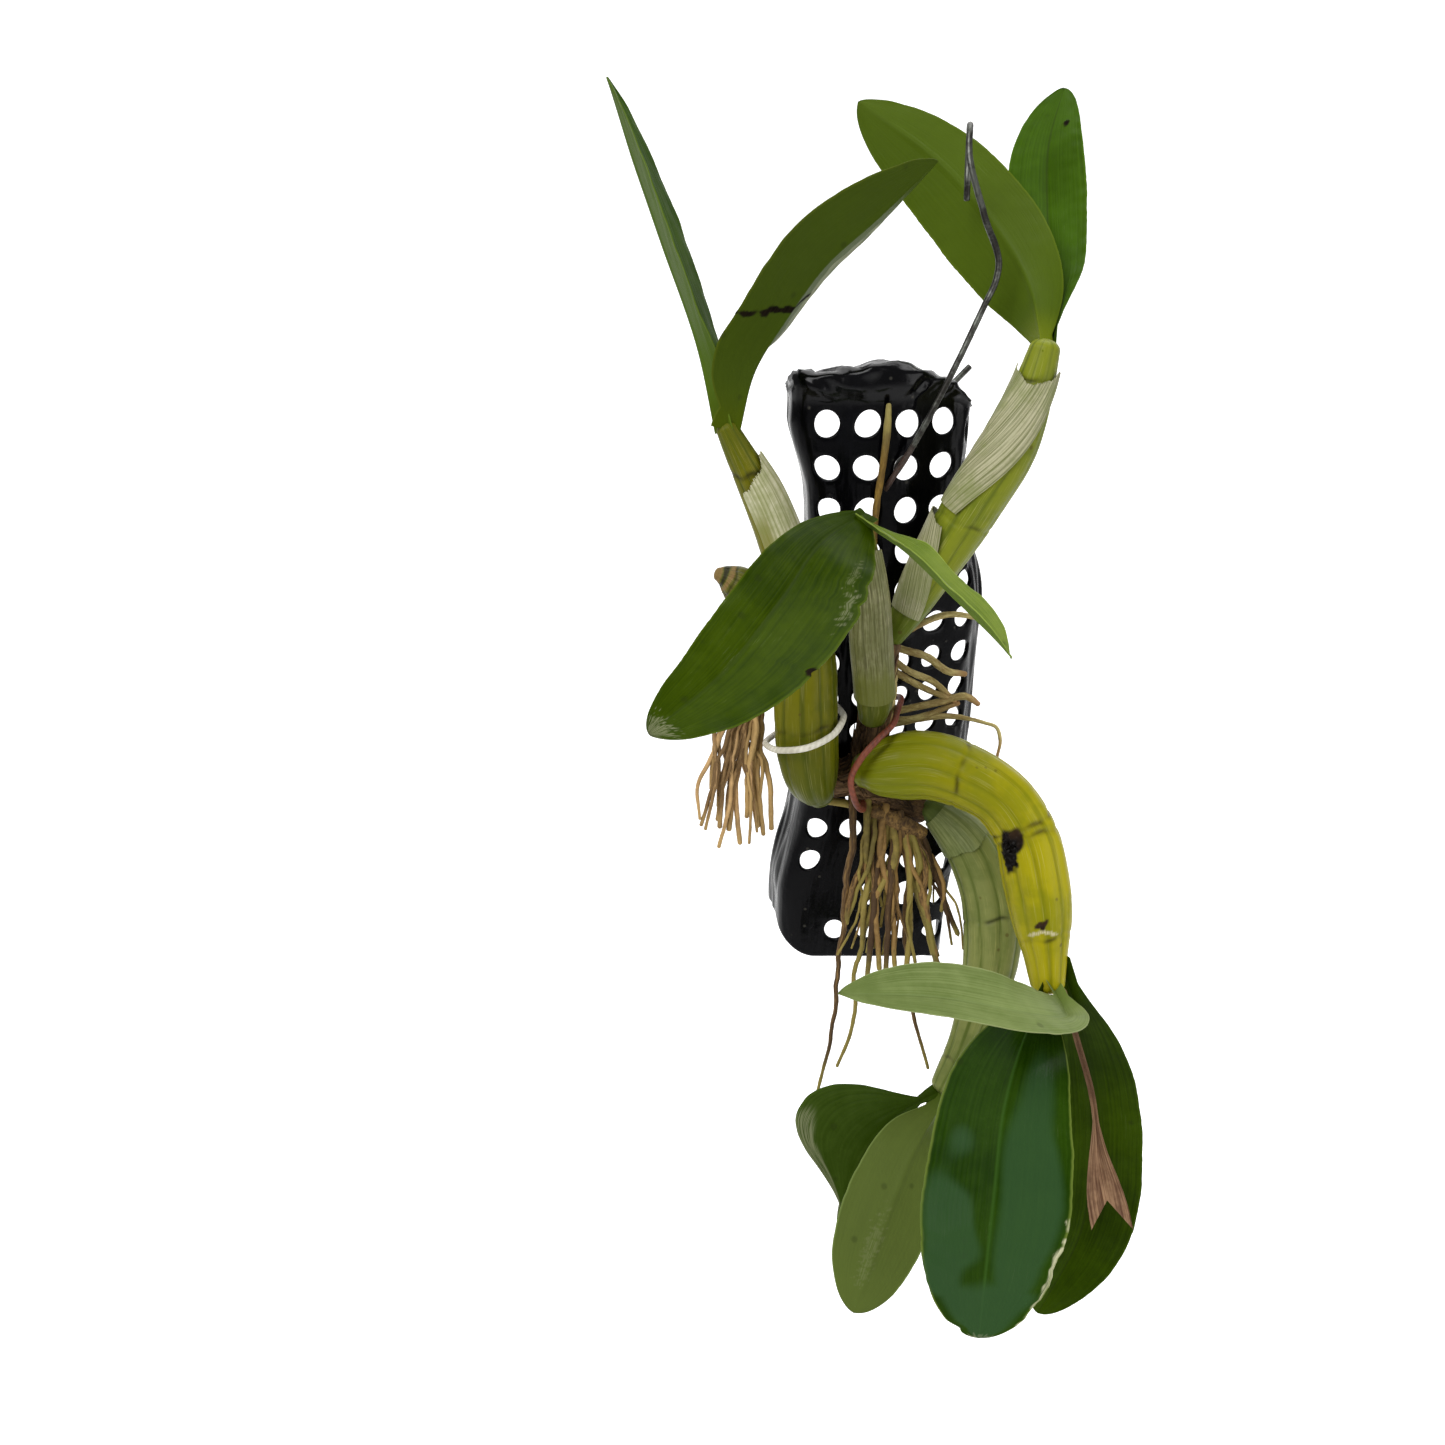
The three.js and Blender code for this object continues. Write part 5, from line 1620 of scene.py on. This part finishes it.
@dataclass
class PaperSheath:
    """Dry sheath round part of a bulb, with a frayed upper edge that runs up to a point.

    Start and head are shares of the bulb's length, point is how much lower the edge ends at its sides. The
    patch reaches half degrees to each side of middle, slants and flares with its height. Bare is how much of
    the other shade shows at its foot, and strip where such a strip ends on its left, in -1..1.
    """

    key: str
    bulb: str
    finish: Finish
    start: float
    head: float
    point: float
    middle: float
    half: float
    offset: float
    flare: float
    seed: int
    slant: float = 0.0
    bare: float = 0.0
    strip: float = -1.2
    thickness: float = 0.34
    steps: int = 70
    sides: int = 150

    def worn(self, turn: Array, rise: Array, rough: Array) -> Array:
        """Where the sheath shows its other shade, in 0..1: at its foot and in a strip on its left."""
        foot = self.bare * (1 - smooth(0.12, 0.3, rise + rough))
        strip = 1 - smooth(self.strip - 0.07, self.strip + 0.07, turn[None] + rough)
        return np.maximum(foot, 0.85 * strip * (1 - smooth(0.7, 0.9, rise)))

    def build(self) -> None:
        """Work out both faces of the patch and make the piece.

        A place lies on the bulb's ring at its share and angle, outside the mean radius by the offset and
        by a flare that grows with the cube of the height; each fibre has a height of its own.
        """
        turn = np.linspace(-1, 1, self.sides + 1)
        rng = np.random.default_rng(self.seed)
        flat = grid(turn * 30, 0.0, 0.0)
        fray = 0.008 * rng.random(self.sides + 1) ** 2 + 0.02 * (0.5 + 0.5 * ripple(flat, 12, self.seed))
        head = self.head - self.point * np.abs(turn) - fray
        rise = np.linspace(0, 1, self.steps + 1)[:, None]
        share = self.start + (head[None] - self.start) * rise
        angle = np.radians(self.middle + self.slant * (rise - 1) + (turn * self.half)[None])
        path = Path(BULB_ROWS[self.bulb])
        parts = 240
        _, _, sides_at, cross_at = path.frames(np.linspace(0, 1, parts + 1), FRONT)
        near = np.rint(np.clip(share, 0, 1) * parts).astype(int)
        rows = path.at(share)
        out = sides_at[near] * np.cos(angle)[..., None] + cross_at[near] * np.sin(angle)[..., None]
        folds = grid(turn[None] * 14, share * 6, 0.0)
        loose = self.offset + self.flare * rise**3 + 0.16 * ripple(folds, 1.4, self.seed + 1)
        inner = rows[..., :3] + out * (rows[..., 3] + loose)[..., None]
        outer = rows[..., :3] + out * (rows[..., 3] + loose + self.thickness)[..., None]
        masks = {
            Mark.TONE: np.broadcast_to(0.5 * ripple(flat, 1.6, self.seed + 2)[None], share.shape),
            Mark.UNDER: self.worn(turn, rise, 0.06 * ripple(folds, 2.0, self.seed + 3)),
        }
        surface = Surface()
        surface.slab(outer, inner, grid((turn[None] + 1) / 2, rise), masks)
        surface.build(f"{self.key}_paper", self.finish, f"sheath_{self.key}")


def sheaths() -> list[PaperSheath]:
    """The five papery sheaths with their own shades."""
    dry = Fibre(
        "dry_paper_sheath", "sheath", light=srgb(206, 201, 172), dark=srgb(146, 146, 104),
        stain=srgb(122, 130, 66), tip=srgb(112, 110, 26), across=84.0, along=1.4, stained=0.55,
        roughness=0.5, bump_depth=0.0003,
    )
    aged = replace(
        dry, name="aged_paper_sheath", light=srgb(150, 148, 104), dark=srgb(78, 76, 38),
        stain=srgb(84, 88, 32), tip=srgb(94, 98, 24), along=5.0, stained=0.6, bump_depth=0.0005, shift=2.0,
    )
    silver = replace(
        dry, name="silver_paper_sheath", light=srgb(174, 170, 138), dark=srgb(114, 116, 76),
        stain=srgb(112, 122, 60), tip=srgb(150, 112, 78), shift=3.0,
    )
    fresh = replace(
        dry, name="fresh_paper_sheath", light=srgb(128, 136, 82), dark=srgb(98, 108, 56),
        stain=srgb(92, 104, 50), tip=srgb(120, 122, 70), stained=0.6, shift=4.0,
    )
    return [
        PaperSheath(
            "left", "left", dry, start=0.5, head=0.93, point=0.06, middle=66, half=118, offset=1.0,
            flare=1.0, seed=41, strip=-0.7,
        ),
        PaperSheath(
            "centre", "centre", aged, start=0.12, head=0.93, point=0.14, middle=10, half=150, offset=1.0,
            flare=0.4, seed=42, bare=0.9,
        ),
        PaperSheath(
            "right_lower", "right", silver, start=0.1, head=0.45, point=0.02, middle=-92, half=55,
            offset=1.0, flare=1.6, seed=43, slant=-72,
        ),
        PaperSheath(
            "right_upper", "right", silver, start=0.47, head=0.91, point=-0.05, middle=-15, half=85,
            offset=0.9, flare=0.6, seed=44, slant=100,
        ),
        PaperSheath(
            "green", "green", fresh, start=0.02, head=0.2, point=0.06, middle=0, half=140, offset=0.8,
            flare=0.3, seed=45,
        ),
    ]


# Roots and rhizome


@dataclass
class RootBunch:
    """Roots that leave one crown and fan out to the line of their ends.

    Count of them are the solids' own, and extra are finer ones between them; more lists single roots by
    their rows. First is the share of the crown where they begin, and sag what bends their middles.
    """

    key: str
    crown: Rows
    ends: Rows
    count: int
    radius: float
    seed: int
    sag: tuple[float, float, float]
    finish: Finish
    extra: int
    more: Sequence[Rows]
    first: float = 0.0

    def strand(self, surface: Surface, rows: Rows, seed: int) -> None:
        """One root: a tube whose middle line and thickness wander, darker or paler than its neighbours.

        Args:
            surface: takes the root.
            rows: places and radii along it.
            seed: which wandering.
        """
        rng = np.random.default_rng(seed)
        tone, golden = rng.uniform(-0.9, 0.7), 0.75 * (rng.random() < 0.35)
        path = Path(rows)
        steps = max(14, int(path.length / 2.2))
        share = np.linspace(0, 1, steps)
        line = path.at(share)
        drift = np.stack([
            ripple(line[:, :3] + 50 * k, 24, seed + k) + 0.35 * ripple(line[:, :3] + 50 * k, 8, seed + 7 + k)
            for k in range(3)
        ], axis=-1)
        line[:, :3] += drift * (1.5 * np.sin(math.pi * np.clip(share * 1.1, 0, 1)) * (share > 0))[:, None]

        def marks(at: Array, angle: Array, places: Array) -> Masks:
            """Tips turn golden, and each strand keeps its own tone; some are golden all along."""
            ripe = np.maximum(0.8 * smooth(0.82, 1, at), golden)
            return {Mark.TONE: np.full(at.shape, tone), Mark.UNDER: ripe}

        bumps = knobs((0.1, 7, seed), (0.06, 2.4, seed + 1))
        surface.tube(Path(line), steps, 8, ends=(0.5, 0.8), swell=bumps, masks=marks)

    def build(self) -> None:
        """Make the crown and its strands, first the solids' own and then the finer ones between them."""
        surface = Surface()
        surface.tube(Path(self.crown), 40, 24, swell=knobs((0.12, 6, 3), (0.05, 2, 4)))
        start, stop = Path(self.crown), Path(self.ends)
        width = 18
        draws = dice(self.seed, width * self.count).reshape(self.count, width)
        rng = np.random.default_rng(self.seed)
        extra = rng.random((self.extra, width))
        for number, draw in enumerate(np.concatenate([draws, extra])):
            own = number < self.count
            share = (number + 0.5) / self.count if own else rng.random()
            thick = self.radius if own else self.radius * (0.35 + 0.45 * rng.random())
            source = start.at(np.array([self.first + (1 - self.first) * share]))[0]
            target = stop.at(np.array([np.clip(share + (draw[0] - 0.5) * 0.3, 0, 1)]))[0]
            reach = 1 - (0.34 if own else 0.5) * draw[1]
            rows = []
            for step, t in enumerate((0, 0.33, 0.68, 1)):
                stray = (7.0 if own else 10.0) * (0 < t < 1)
                wander = (draw[2 + 4 * step:5 + 4 * step] - 0.5) * stray
                sag = np.asarray(self.sag) * t * (1 - t)
                middle = source[:3] + (target[:3] - source[:3]) * reach * t + wander + sag
                rows.append([*middle, thick * (1 - 0.28 * t) * (0.9 + 0.2 * draw[5 + 4 * step])])
            self.strand(surface, rows, 100 * self.seed + number)
        for number, rows in enumerate(self.more):
            self.strand(surface, rows, 100 * self.seed + 60 + number)
        surface.build(f"{self.key}_bunch", self.finish, self.key)


def root_bunches() -> list[RootBunch]:
    """The left and the centre bunch."""
    tan = Fibre(
        "tan_root_skin", "root", light=srgb(190, 154, 104), dark=srgb(112, 86, 52), stain=srgb(88, 66, 40),
        tip=srgb(172, 142, 88), across=6.0, along=9.0, roughness=0.75,
    )
    brown = replace(
        tan, name="brown_root_skin", light=srgb(148, 116, 66), dark=srgb(74, 54, 32), stain=srgb(52, 38, 24),
        tip=srgb(142, 130, 62), stained=0.5,
    )
    return [
        RootBunch(
            "roots_left", [[-82, 29, -262, 5.5], [-93, 21, -267, 5], [-106, 14, -269, 4]],
            [[-88, 14, -352], [-103, 8, -354], [-116, 4, -352], [-128, 0, -343]],
            10, 1.9, 11, (-10, -6, 10), tan, first=0.42, extra=14,
            more=[[[-106, 14, -269, 2], [-118, 6, -296, 1.4], [-128, 1, -318, 1], [-127, 0, -334, 0.8]]],
        ),
        RootBunch(
            "roots_centre", [[-31, 27, -338, 4.6], [-15, 25, -345, 4.8], [-4, 25, -350, 4]],
            [[-52, 9, -418], [-28, 2, -430], [0, 4, -428], [20, 14, -416]],
            12, 2.1, 5, (0, -8, 2), brown, extra=22,
            more=[
                [[-56, 30, -333, 2], [-44, 29, -334, 2.4], [-24, 26, -341, 3]],
                [[-43.2, 29, -329.2, 2.2], [-43, 22, -347.2, 2], [-44.7, 18, -363.2, 1.9],
                 [-47.3, 16, -379.9, 1.8], [-48.2, 14, -397.9, 1.6], [-50.6, 11, -428.1, 1.4],
                 [-53.6, 8, -459.8, 1.2], [-61.1, 5, -495.1, 0.9]],
                [[-34.4, 28, -330, 2.2], [-36.1, 18, -357.4, 1.9], [-32.4, 14, -387.9, 1.7],
                 [-39.7, 12, -416.6, 1.4], [-43.3, 9, -463.4, 1.1], [-50.4, 7, -481.4, 0.9]],
                [[-24.6, 26, -334, 2.2], [-28.5, 17, -357.1, 1.9], [-21.8, 12, -384.2, 1.6],
                 [-25.8, 9, -411.1, 1.2]],
                [[-16.9, 25, -337.8, 2.1], [-12.4, 18, -374.8, 1.8], [-12.7, 14, -414.5, 1.5],
                 [-7.6, 10, -451.7, 1.1], [0.7, 6, -482.1, 0.9]],
            ],
        ),
    ]


@dataclass
class SideRoots:
    """Pale roots to the right of the rhizome and the golden one that climbs the shell."""

    pale: Finish = Fibre(
        "pale_root_skin", "root", light=srgb(186, 172, 112), dark=srgb(134, 116, 66), stain=srgb(110, 84, 48),
        tip=srgb(150, 112, 70), across=6.0, along=9.0,
    )
    golden: Finish = Fibre(
        "golden_root_skin", "root", light=srgb(142, 112, 44), dark=srgb(92, 70, 26), stain=srgb(74, 52, 22),
        tip=srgb(150, 140, 80), across=5.0, along=14.0,
    )
    right: Sequence[Rows] = (
        [[-25, 20.6, -246, 3.8], [-25.3, 22.6, -266, 4.2], [-26.5, 24, -286, 4]],
        [[-26.6, 21.5, -241.7, 2], [-21.3, 19, -238.7, 2], [-11.3, 17, -232.6, 1.9],
         [1.5, 16.3, -227.8, 1.7], [24.8, 14.8, -230.3, 1]],
        [[-26.5, 21.5, -244.4, 2], [-20.9, 19.5, -246.2, 2], [-7.7, 18.5, -249.8, 2],
         [6, 19, -258.5, 1.9], [14.3, 20, -259.7, 1.5]],
        [[-26.2, 22, -250.9, 2], [-16.8, 19.5, -257.5, 1.9], [-1.7, 19, -264.4, 1.8],
         [8.5, 20, -273.8, 1.5]],
        [[-26, 22, -256.8, 1.9], [-9.8, 18.5, -266, 1.8], [9.2, 18.5, -274.1, 1.4]],
        [[-25.1, 23, -281, 2], [-16.9, 21, -279, 2], [1.4, 19, -274.7, 2], [16, 18, -271.8, 1.9],
         [21.4, 17.5, -275.5, 1.5]],
        [[-25, 23, -285.4, 1.7], [-11.4, 20.5, -283.8, 1.7], [11.1, 19.5, -275.4, 1.4]],
        [[-24.9, 23, -288.2, 1.8], [-8.6, 21, -284.4, 1.8], [4.6, 20, -282.6, 1.7],
         [15.1, 19, -283.5, 1.3], [25.6, 17.5, -285.9, 1], [31.3, 16, -287.8, 1], [33.3, 14, -294.4, 0.9],
         [31.9, 13, -303.5, 0.8]],
    )
    up: Rows = (
        (-31, 21, -268, 2.2), (-36, 16, -240, 2.1), (-38, 9, -205, 2), (-38, 1, -170, 2), (-36, -4, -150, 2),
        (-35, -8, -130, 2), (-35, -9, -124, 1.4),
    )

    def root(self, surface: Surface, rows: Rows, seed: int) -> None:
        """One root with uneven thickness and a browner tip; the seed says which unevenness."""
        surface.tube(
            Path(rows), 60, 12, ends=(0.5, 0.8), swell=knobs((0.09, 8, seed), (0.05, 2.5, seed + 1)),
            masks=lambda at, angle, places: {
                Mark.UNDER: 0.9 * smooth(0.8, 1, at), Mark.TONE: 0.5 * ripple(places, 30, seed + 2),
            },
        )

    def build(self) -> None:
        """Make both pieces; the climbing root is drawn a little thinner than its solid."""
        side = Surface()
        for number, rows in enumerate(self.right):
            self.root(side, rows, 70 + number)
        side.build("roots_right_bunch", self.pale, "roots_right")
        climber = Surface()
        thinner = 0.86
        self.root(climber, [[*row[:3], thinner * row[3]] for row in self.up], 90)
        climber.build("root_up_strand", self.golden, "root_up")


@dataclass
class Rhizome:
    """Brown creeping stem wrapped in old fibres."""

    rows: Rows = (
        (-81, 26.8, -266, 6.5), (-75, 25.8, -287, 8.5), (-66, 28.8, -306, 9), (-52, 31.8, -320, 9.5),
        (-38, 29.8, -314, 9.5), (-34, 24, -292, 8.5), (-32, 18, -268, 6.5), (-27.5, 14, -243, 6),
    )
    arm: Rows = ((-45, 31.8, -320, 8.5), (-22, 34.8, -333, 8.5), (-3, 34.8, -340, 7))
    fibres: int = 260
    finish: Finish = Fibre(
        "rhizome_fibre", "rhizome", light=srgb(134, 104, 70), dark=srgb(62, 44, 28), stain=srgb(44, 32, 22),
        tip=srgb(150, 122, 84), across=24.0, along=5.0, stained=0.6, roughness=0.85, bump_depth=0.001,
    )

    def fibre(self, surface: Surface, rng: np.random.Generator) -> None:
        """One loose fibre: it lies along the stem, drifts round it and lifts off more and more.

        Args:
            surface: takes the fibre.
            rng: what draws its place and shape.
        """
        path = Path(self.rows if rng.random() < 0.72 else self.arm)
        start = rng.random() * 0.85
        share = start + np.linspace(0, 0.1 + 0.12 * rng.random(), 5)
        rows, _, side, cross = path.frames(np.clip(share, 0, 1), FRONT)
        angle = (rng.random() - 0.5) * 3.9 + np.linspace(0, rng.normal() * 0.5, 5)
        out = side * np.cos(angle)[:, None] + cross * np.sin(angle)[:, None]
        lift = rows[:, 3] + 0.1 + np.linspace(0, 1, 5) ** 2 * rng.random() * 1.6
        places = rows[:, :3] + out * lift[:, None]
        width = np.full((5, 1), 0.25 + 0.3 * rng.random())
        tone = rng.uniform(-0.9, 0.5)
        surface.tube(
            Path(np.concatenate([places, width], axis=1)), 7, 4, caps=1,
            masks=lambda at, angle, places: {Mark.TONE: np.full(at.shape, tone)},
        )

    def build(self) -> None:
        """Make the knobbly stem and the loose fibres that lie along it."""
        surface = Surface()
        bumps = knobs((0.05, 11, 5), (0.035, 4, 6), (0.02, 1.7, 7))
        for rows in (self.rows, self.arm):
            surface.tube(Path(rows), 110, 60, caps=6, swell=bumps)
        rng = np.random.default_rng(17)
        for _ in range(self.fibres):
            self.fibre(surface, rng)
        surface.build("rhizome_stem", self.finish, "rhizome")


# Ties


@dataclass
class Tie:
    """Closed loop of cord round a bulb and through two holes of the shell."""

    key: str
    places: Rows
    radius: float
    finish: Cord
    steps: int = 240
    sides: int = 12

    def build(self) -> None:
        """Carry a round section along the closed line.

        Places are repeated past both ends so that the line closes smoothly, and the section turns evenly so
        that its last ring meets its first. A cosine of twice the angle plus the lay gives it its strands.
        """
        line = np.asarray(self.places, float)
        lead = 3
        whole = Path(np.concatenate([line[-lead:], line, line[:lead + 1]]))
        first, last = whole.knots[lead] / whole.length, whole.knots[lead + len(line)] / whole.length
        share = np.linspace(first, last, self.steps + 1)
        _, _, side, cross = whole.frames(share, (0.3, 0.2, 1))
        twist = np.arctan2((cross[-1] * side[0]).sum(), (side[-1] * side[0]).sum())
        turn = np.linspace(0, twist, len(share))[:-1, None]
        angle = np.linspace(0, TURN, self.sides, endpoint=False)[None] + turn
        out = side[:-1, None] * np.cos(angle)[..., None] + cross[:-1, None] * np.sin(angle)[..., None]
        lay = np.linspace(0, 1, len(share))[:-1, None] * TURN * self.finish.turns
        radius = self.radius * (1 + 0.02 * np.cos(2 * (angle - turn) + lay))
        surface = Surface()
        index = surface.add(whole.at(share)[:-1, None, :3] + out * radius[..., None], {})
        uv = grid(np.linspace(0, 1, self.sides + 1)[None], np.linspace(0, 1, len(share))[:, None])
        surface.quads(np.concatenate([index, index[:1]]), uv, wrap=True)
        surface.build(f"{self.key}_cord", self.finish, self.key)


def ties(shell: HangingShell) -> list[Tie]:
    """The white and the brown tie, which run behind the wall between two holes.

    Args:
        shell: gives the places of its holes.

    Returns:
        Both ties.
    """
    def hole(column: float, row: float, deep: float) -> list[float]:
        """A place at a column and row of the holes, behind the outer face by a depth."""
        along, down = np.array(column * shell.pitch_across), np.array(row * shell.pitch_down)
        return list(shell.place(along, down) - shell.axes(along, down)[2] * deep)

    thick, gap, bend = 1.7, 0.45, 4.6
    bear = shell.thickness + thick + gap
    white = Cord("white_tie_cord", "tie_white", light=srgb(226, 222, 208), dark=srgb(186, 180, 160))
    brown = Cord("brown_tie_cord", "tie_brown", light=srgb(132, 64, 40), dark=srgb(92, 42, 26))
    return [
        Tie("tie_white", [
            hole(1, 7, 0), [-51.9, 14.4, -279], [-52.4, 0, -280], [-59.6, -13.6, -286], [-72, -18.2, -291],
            [-85.5, -11.5, -294], [-91.7, 4, -295], [-89.7, 24, -296], hole(0, 8, 0),
            hole(0.12, 7.88, bend), hole(0.5, 7.5, bear), hole(0.88, 7.12, bend),
        ], thick, white),
        Tie("tie_brown", [
            hole(3, 7, 0), [-22, 16, -280], [-26, 4, -284], [-35, -3.8, -290.5], [-43, -4.8, -299.8],
            [-47.7, -1.4, -312.2], [-44.5, 1.6, -325.8], [-39, 14, -333], [-37, 30, -331.6], hole(2, 9, 0),
            hole(2.06, 8.88, bend), hole(2.5, 8, bear), hole(2.94, 7.12, bend),
        ], thick, brown),
    ]


# Studio


@dataclass
class Studio:
    """Pale sweep, soft lights and the camera at the photograph's angle, in metres and degrees."""

    eye: tuple[float, float, float] = (-0.115, -0.55, -0.165)
    pitch: float = 12.0
    focal_pixels: float = 1083.0
    image_pixels: float = 1445.0
    sensor: float = 36.0
    floor: float = -1.25
    far: float = 2.6
    bend: float = 1.2
    plant: tuple[float, float, float] = (-0.03, -0.02, -0.3)
    lamp_size: float = 1.6
    room_light: float = 0.25

    def sweep(self) -> None:
        """Floor that bends up to a wall: a profile of floor, quarter circle and wall, drawn out sideways."""
        turn = np.linspace(0, math.pi / 2, 24)
        y = np.concatenate([[-4.0], self.far + self.bend * np.sin(turn), [self.far + self.bend]])
        z = np.concatenate([[self.floor], self.floor + self.bend * (1 - np.cos(turn)), [4.0]])
        places = grid(np.linspace(-5, 5, 12)[None], y[:, None], z[:, None])
        corners = cells(np.arange(places[..., 0].size).reshape(places.shape[:2]))
        mesh = bpy.data.meshes.new("studio_sweep")
        mesh.from_pydata(places.reshape(-1, 3).tolist(), [], corners.tolist())
        mesh.polygons.foreach_set("use_smooth", np.ones(len(mesh.polygons), bool))
        floor = bpy.data.objects.new("studio_sweep", mesh)
        bpy.context.collection.objects.link(floor)
        mesh.materials.append(Backdrop("pale_sweep", "").material())

    def light(self, name: str, place: Sequence[float], power: float) -> None:
        """One square soft light with its power in watts; it looks at the plant."""
        lamp = bpy.data.lights.new(name, "AREA")
        lamp.size, lamp.energy = self.lamp_size, power
        made = bpy.data.objects.new(name, lamp)
        bpy.context.collection.objects.link(made)
        back = unit(np.asarray(place, float) - np.asarray(self.plant, float))
        made.location = place
        made.rotation_euler = (math.acos(back[2]), 0, math.atan2(back[0], -back[1]))

    def camera(self) -> None:
        """The camera at eye height, tilted down by the pitch."""
        camera = bpy.data.cameras.new("photo_view")
        camera.sensor_width = self.sensor
        camera.lens = self.sensor * self.focal_pixels / self.image_pixels
        camera.clip_start, camera.clip_end = 0.01, 50
        eye = bpy.data.objects.new("photo_view", camera)
        eye.location = self.eye
        eye.rotation_euler = (math.radians(90 - self.pitch), 0, 0)
        bpy.context.collection.objects.link(eye)
        bpy.context.scene.camera = eye

    def build(self) -> None:
        """Make the sweep, lights, world and camera."""
        self.sweep()
        self.light("key_light", (-1.1, -1.4, 1.1), 52)
        self.light("top_light", (0.3, 0.4, 1.5), 24)
        self.light("fill_light", (1.5, -1.1, -0.2), 16)
        world = bpy.data.worlds.new("white_room")
        world.use_nodes = True
        background = world.node_tree.nodes["Background"].inputs
        background[0].default_value = (1, 1, 1, 1)
        background[1].default_value = self.room_light
        bpy.context.scene.world = world
        bpy.context.scene.view_settings.view_transform = "Standard"
        self.camera()


def main() -> None:
    """Build the studio, the holder and the plant."""
    logging.basicConfig(level=logging.INFO, format="%(name)s: %(message)s")
    Studio().build()
    shell = HangingShell()
    shell.build()
    Rhizome().build()
    for piece in (*bulbs(), *leaves(), flower_sheath(), *sheaths(), *root_bunches(), *ties(shell)):
        piece.build()
    SideRoots().build()


if __name__ == "__main__":
    main()
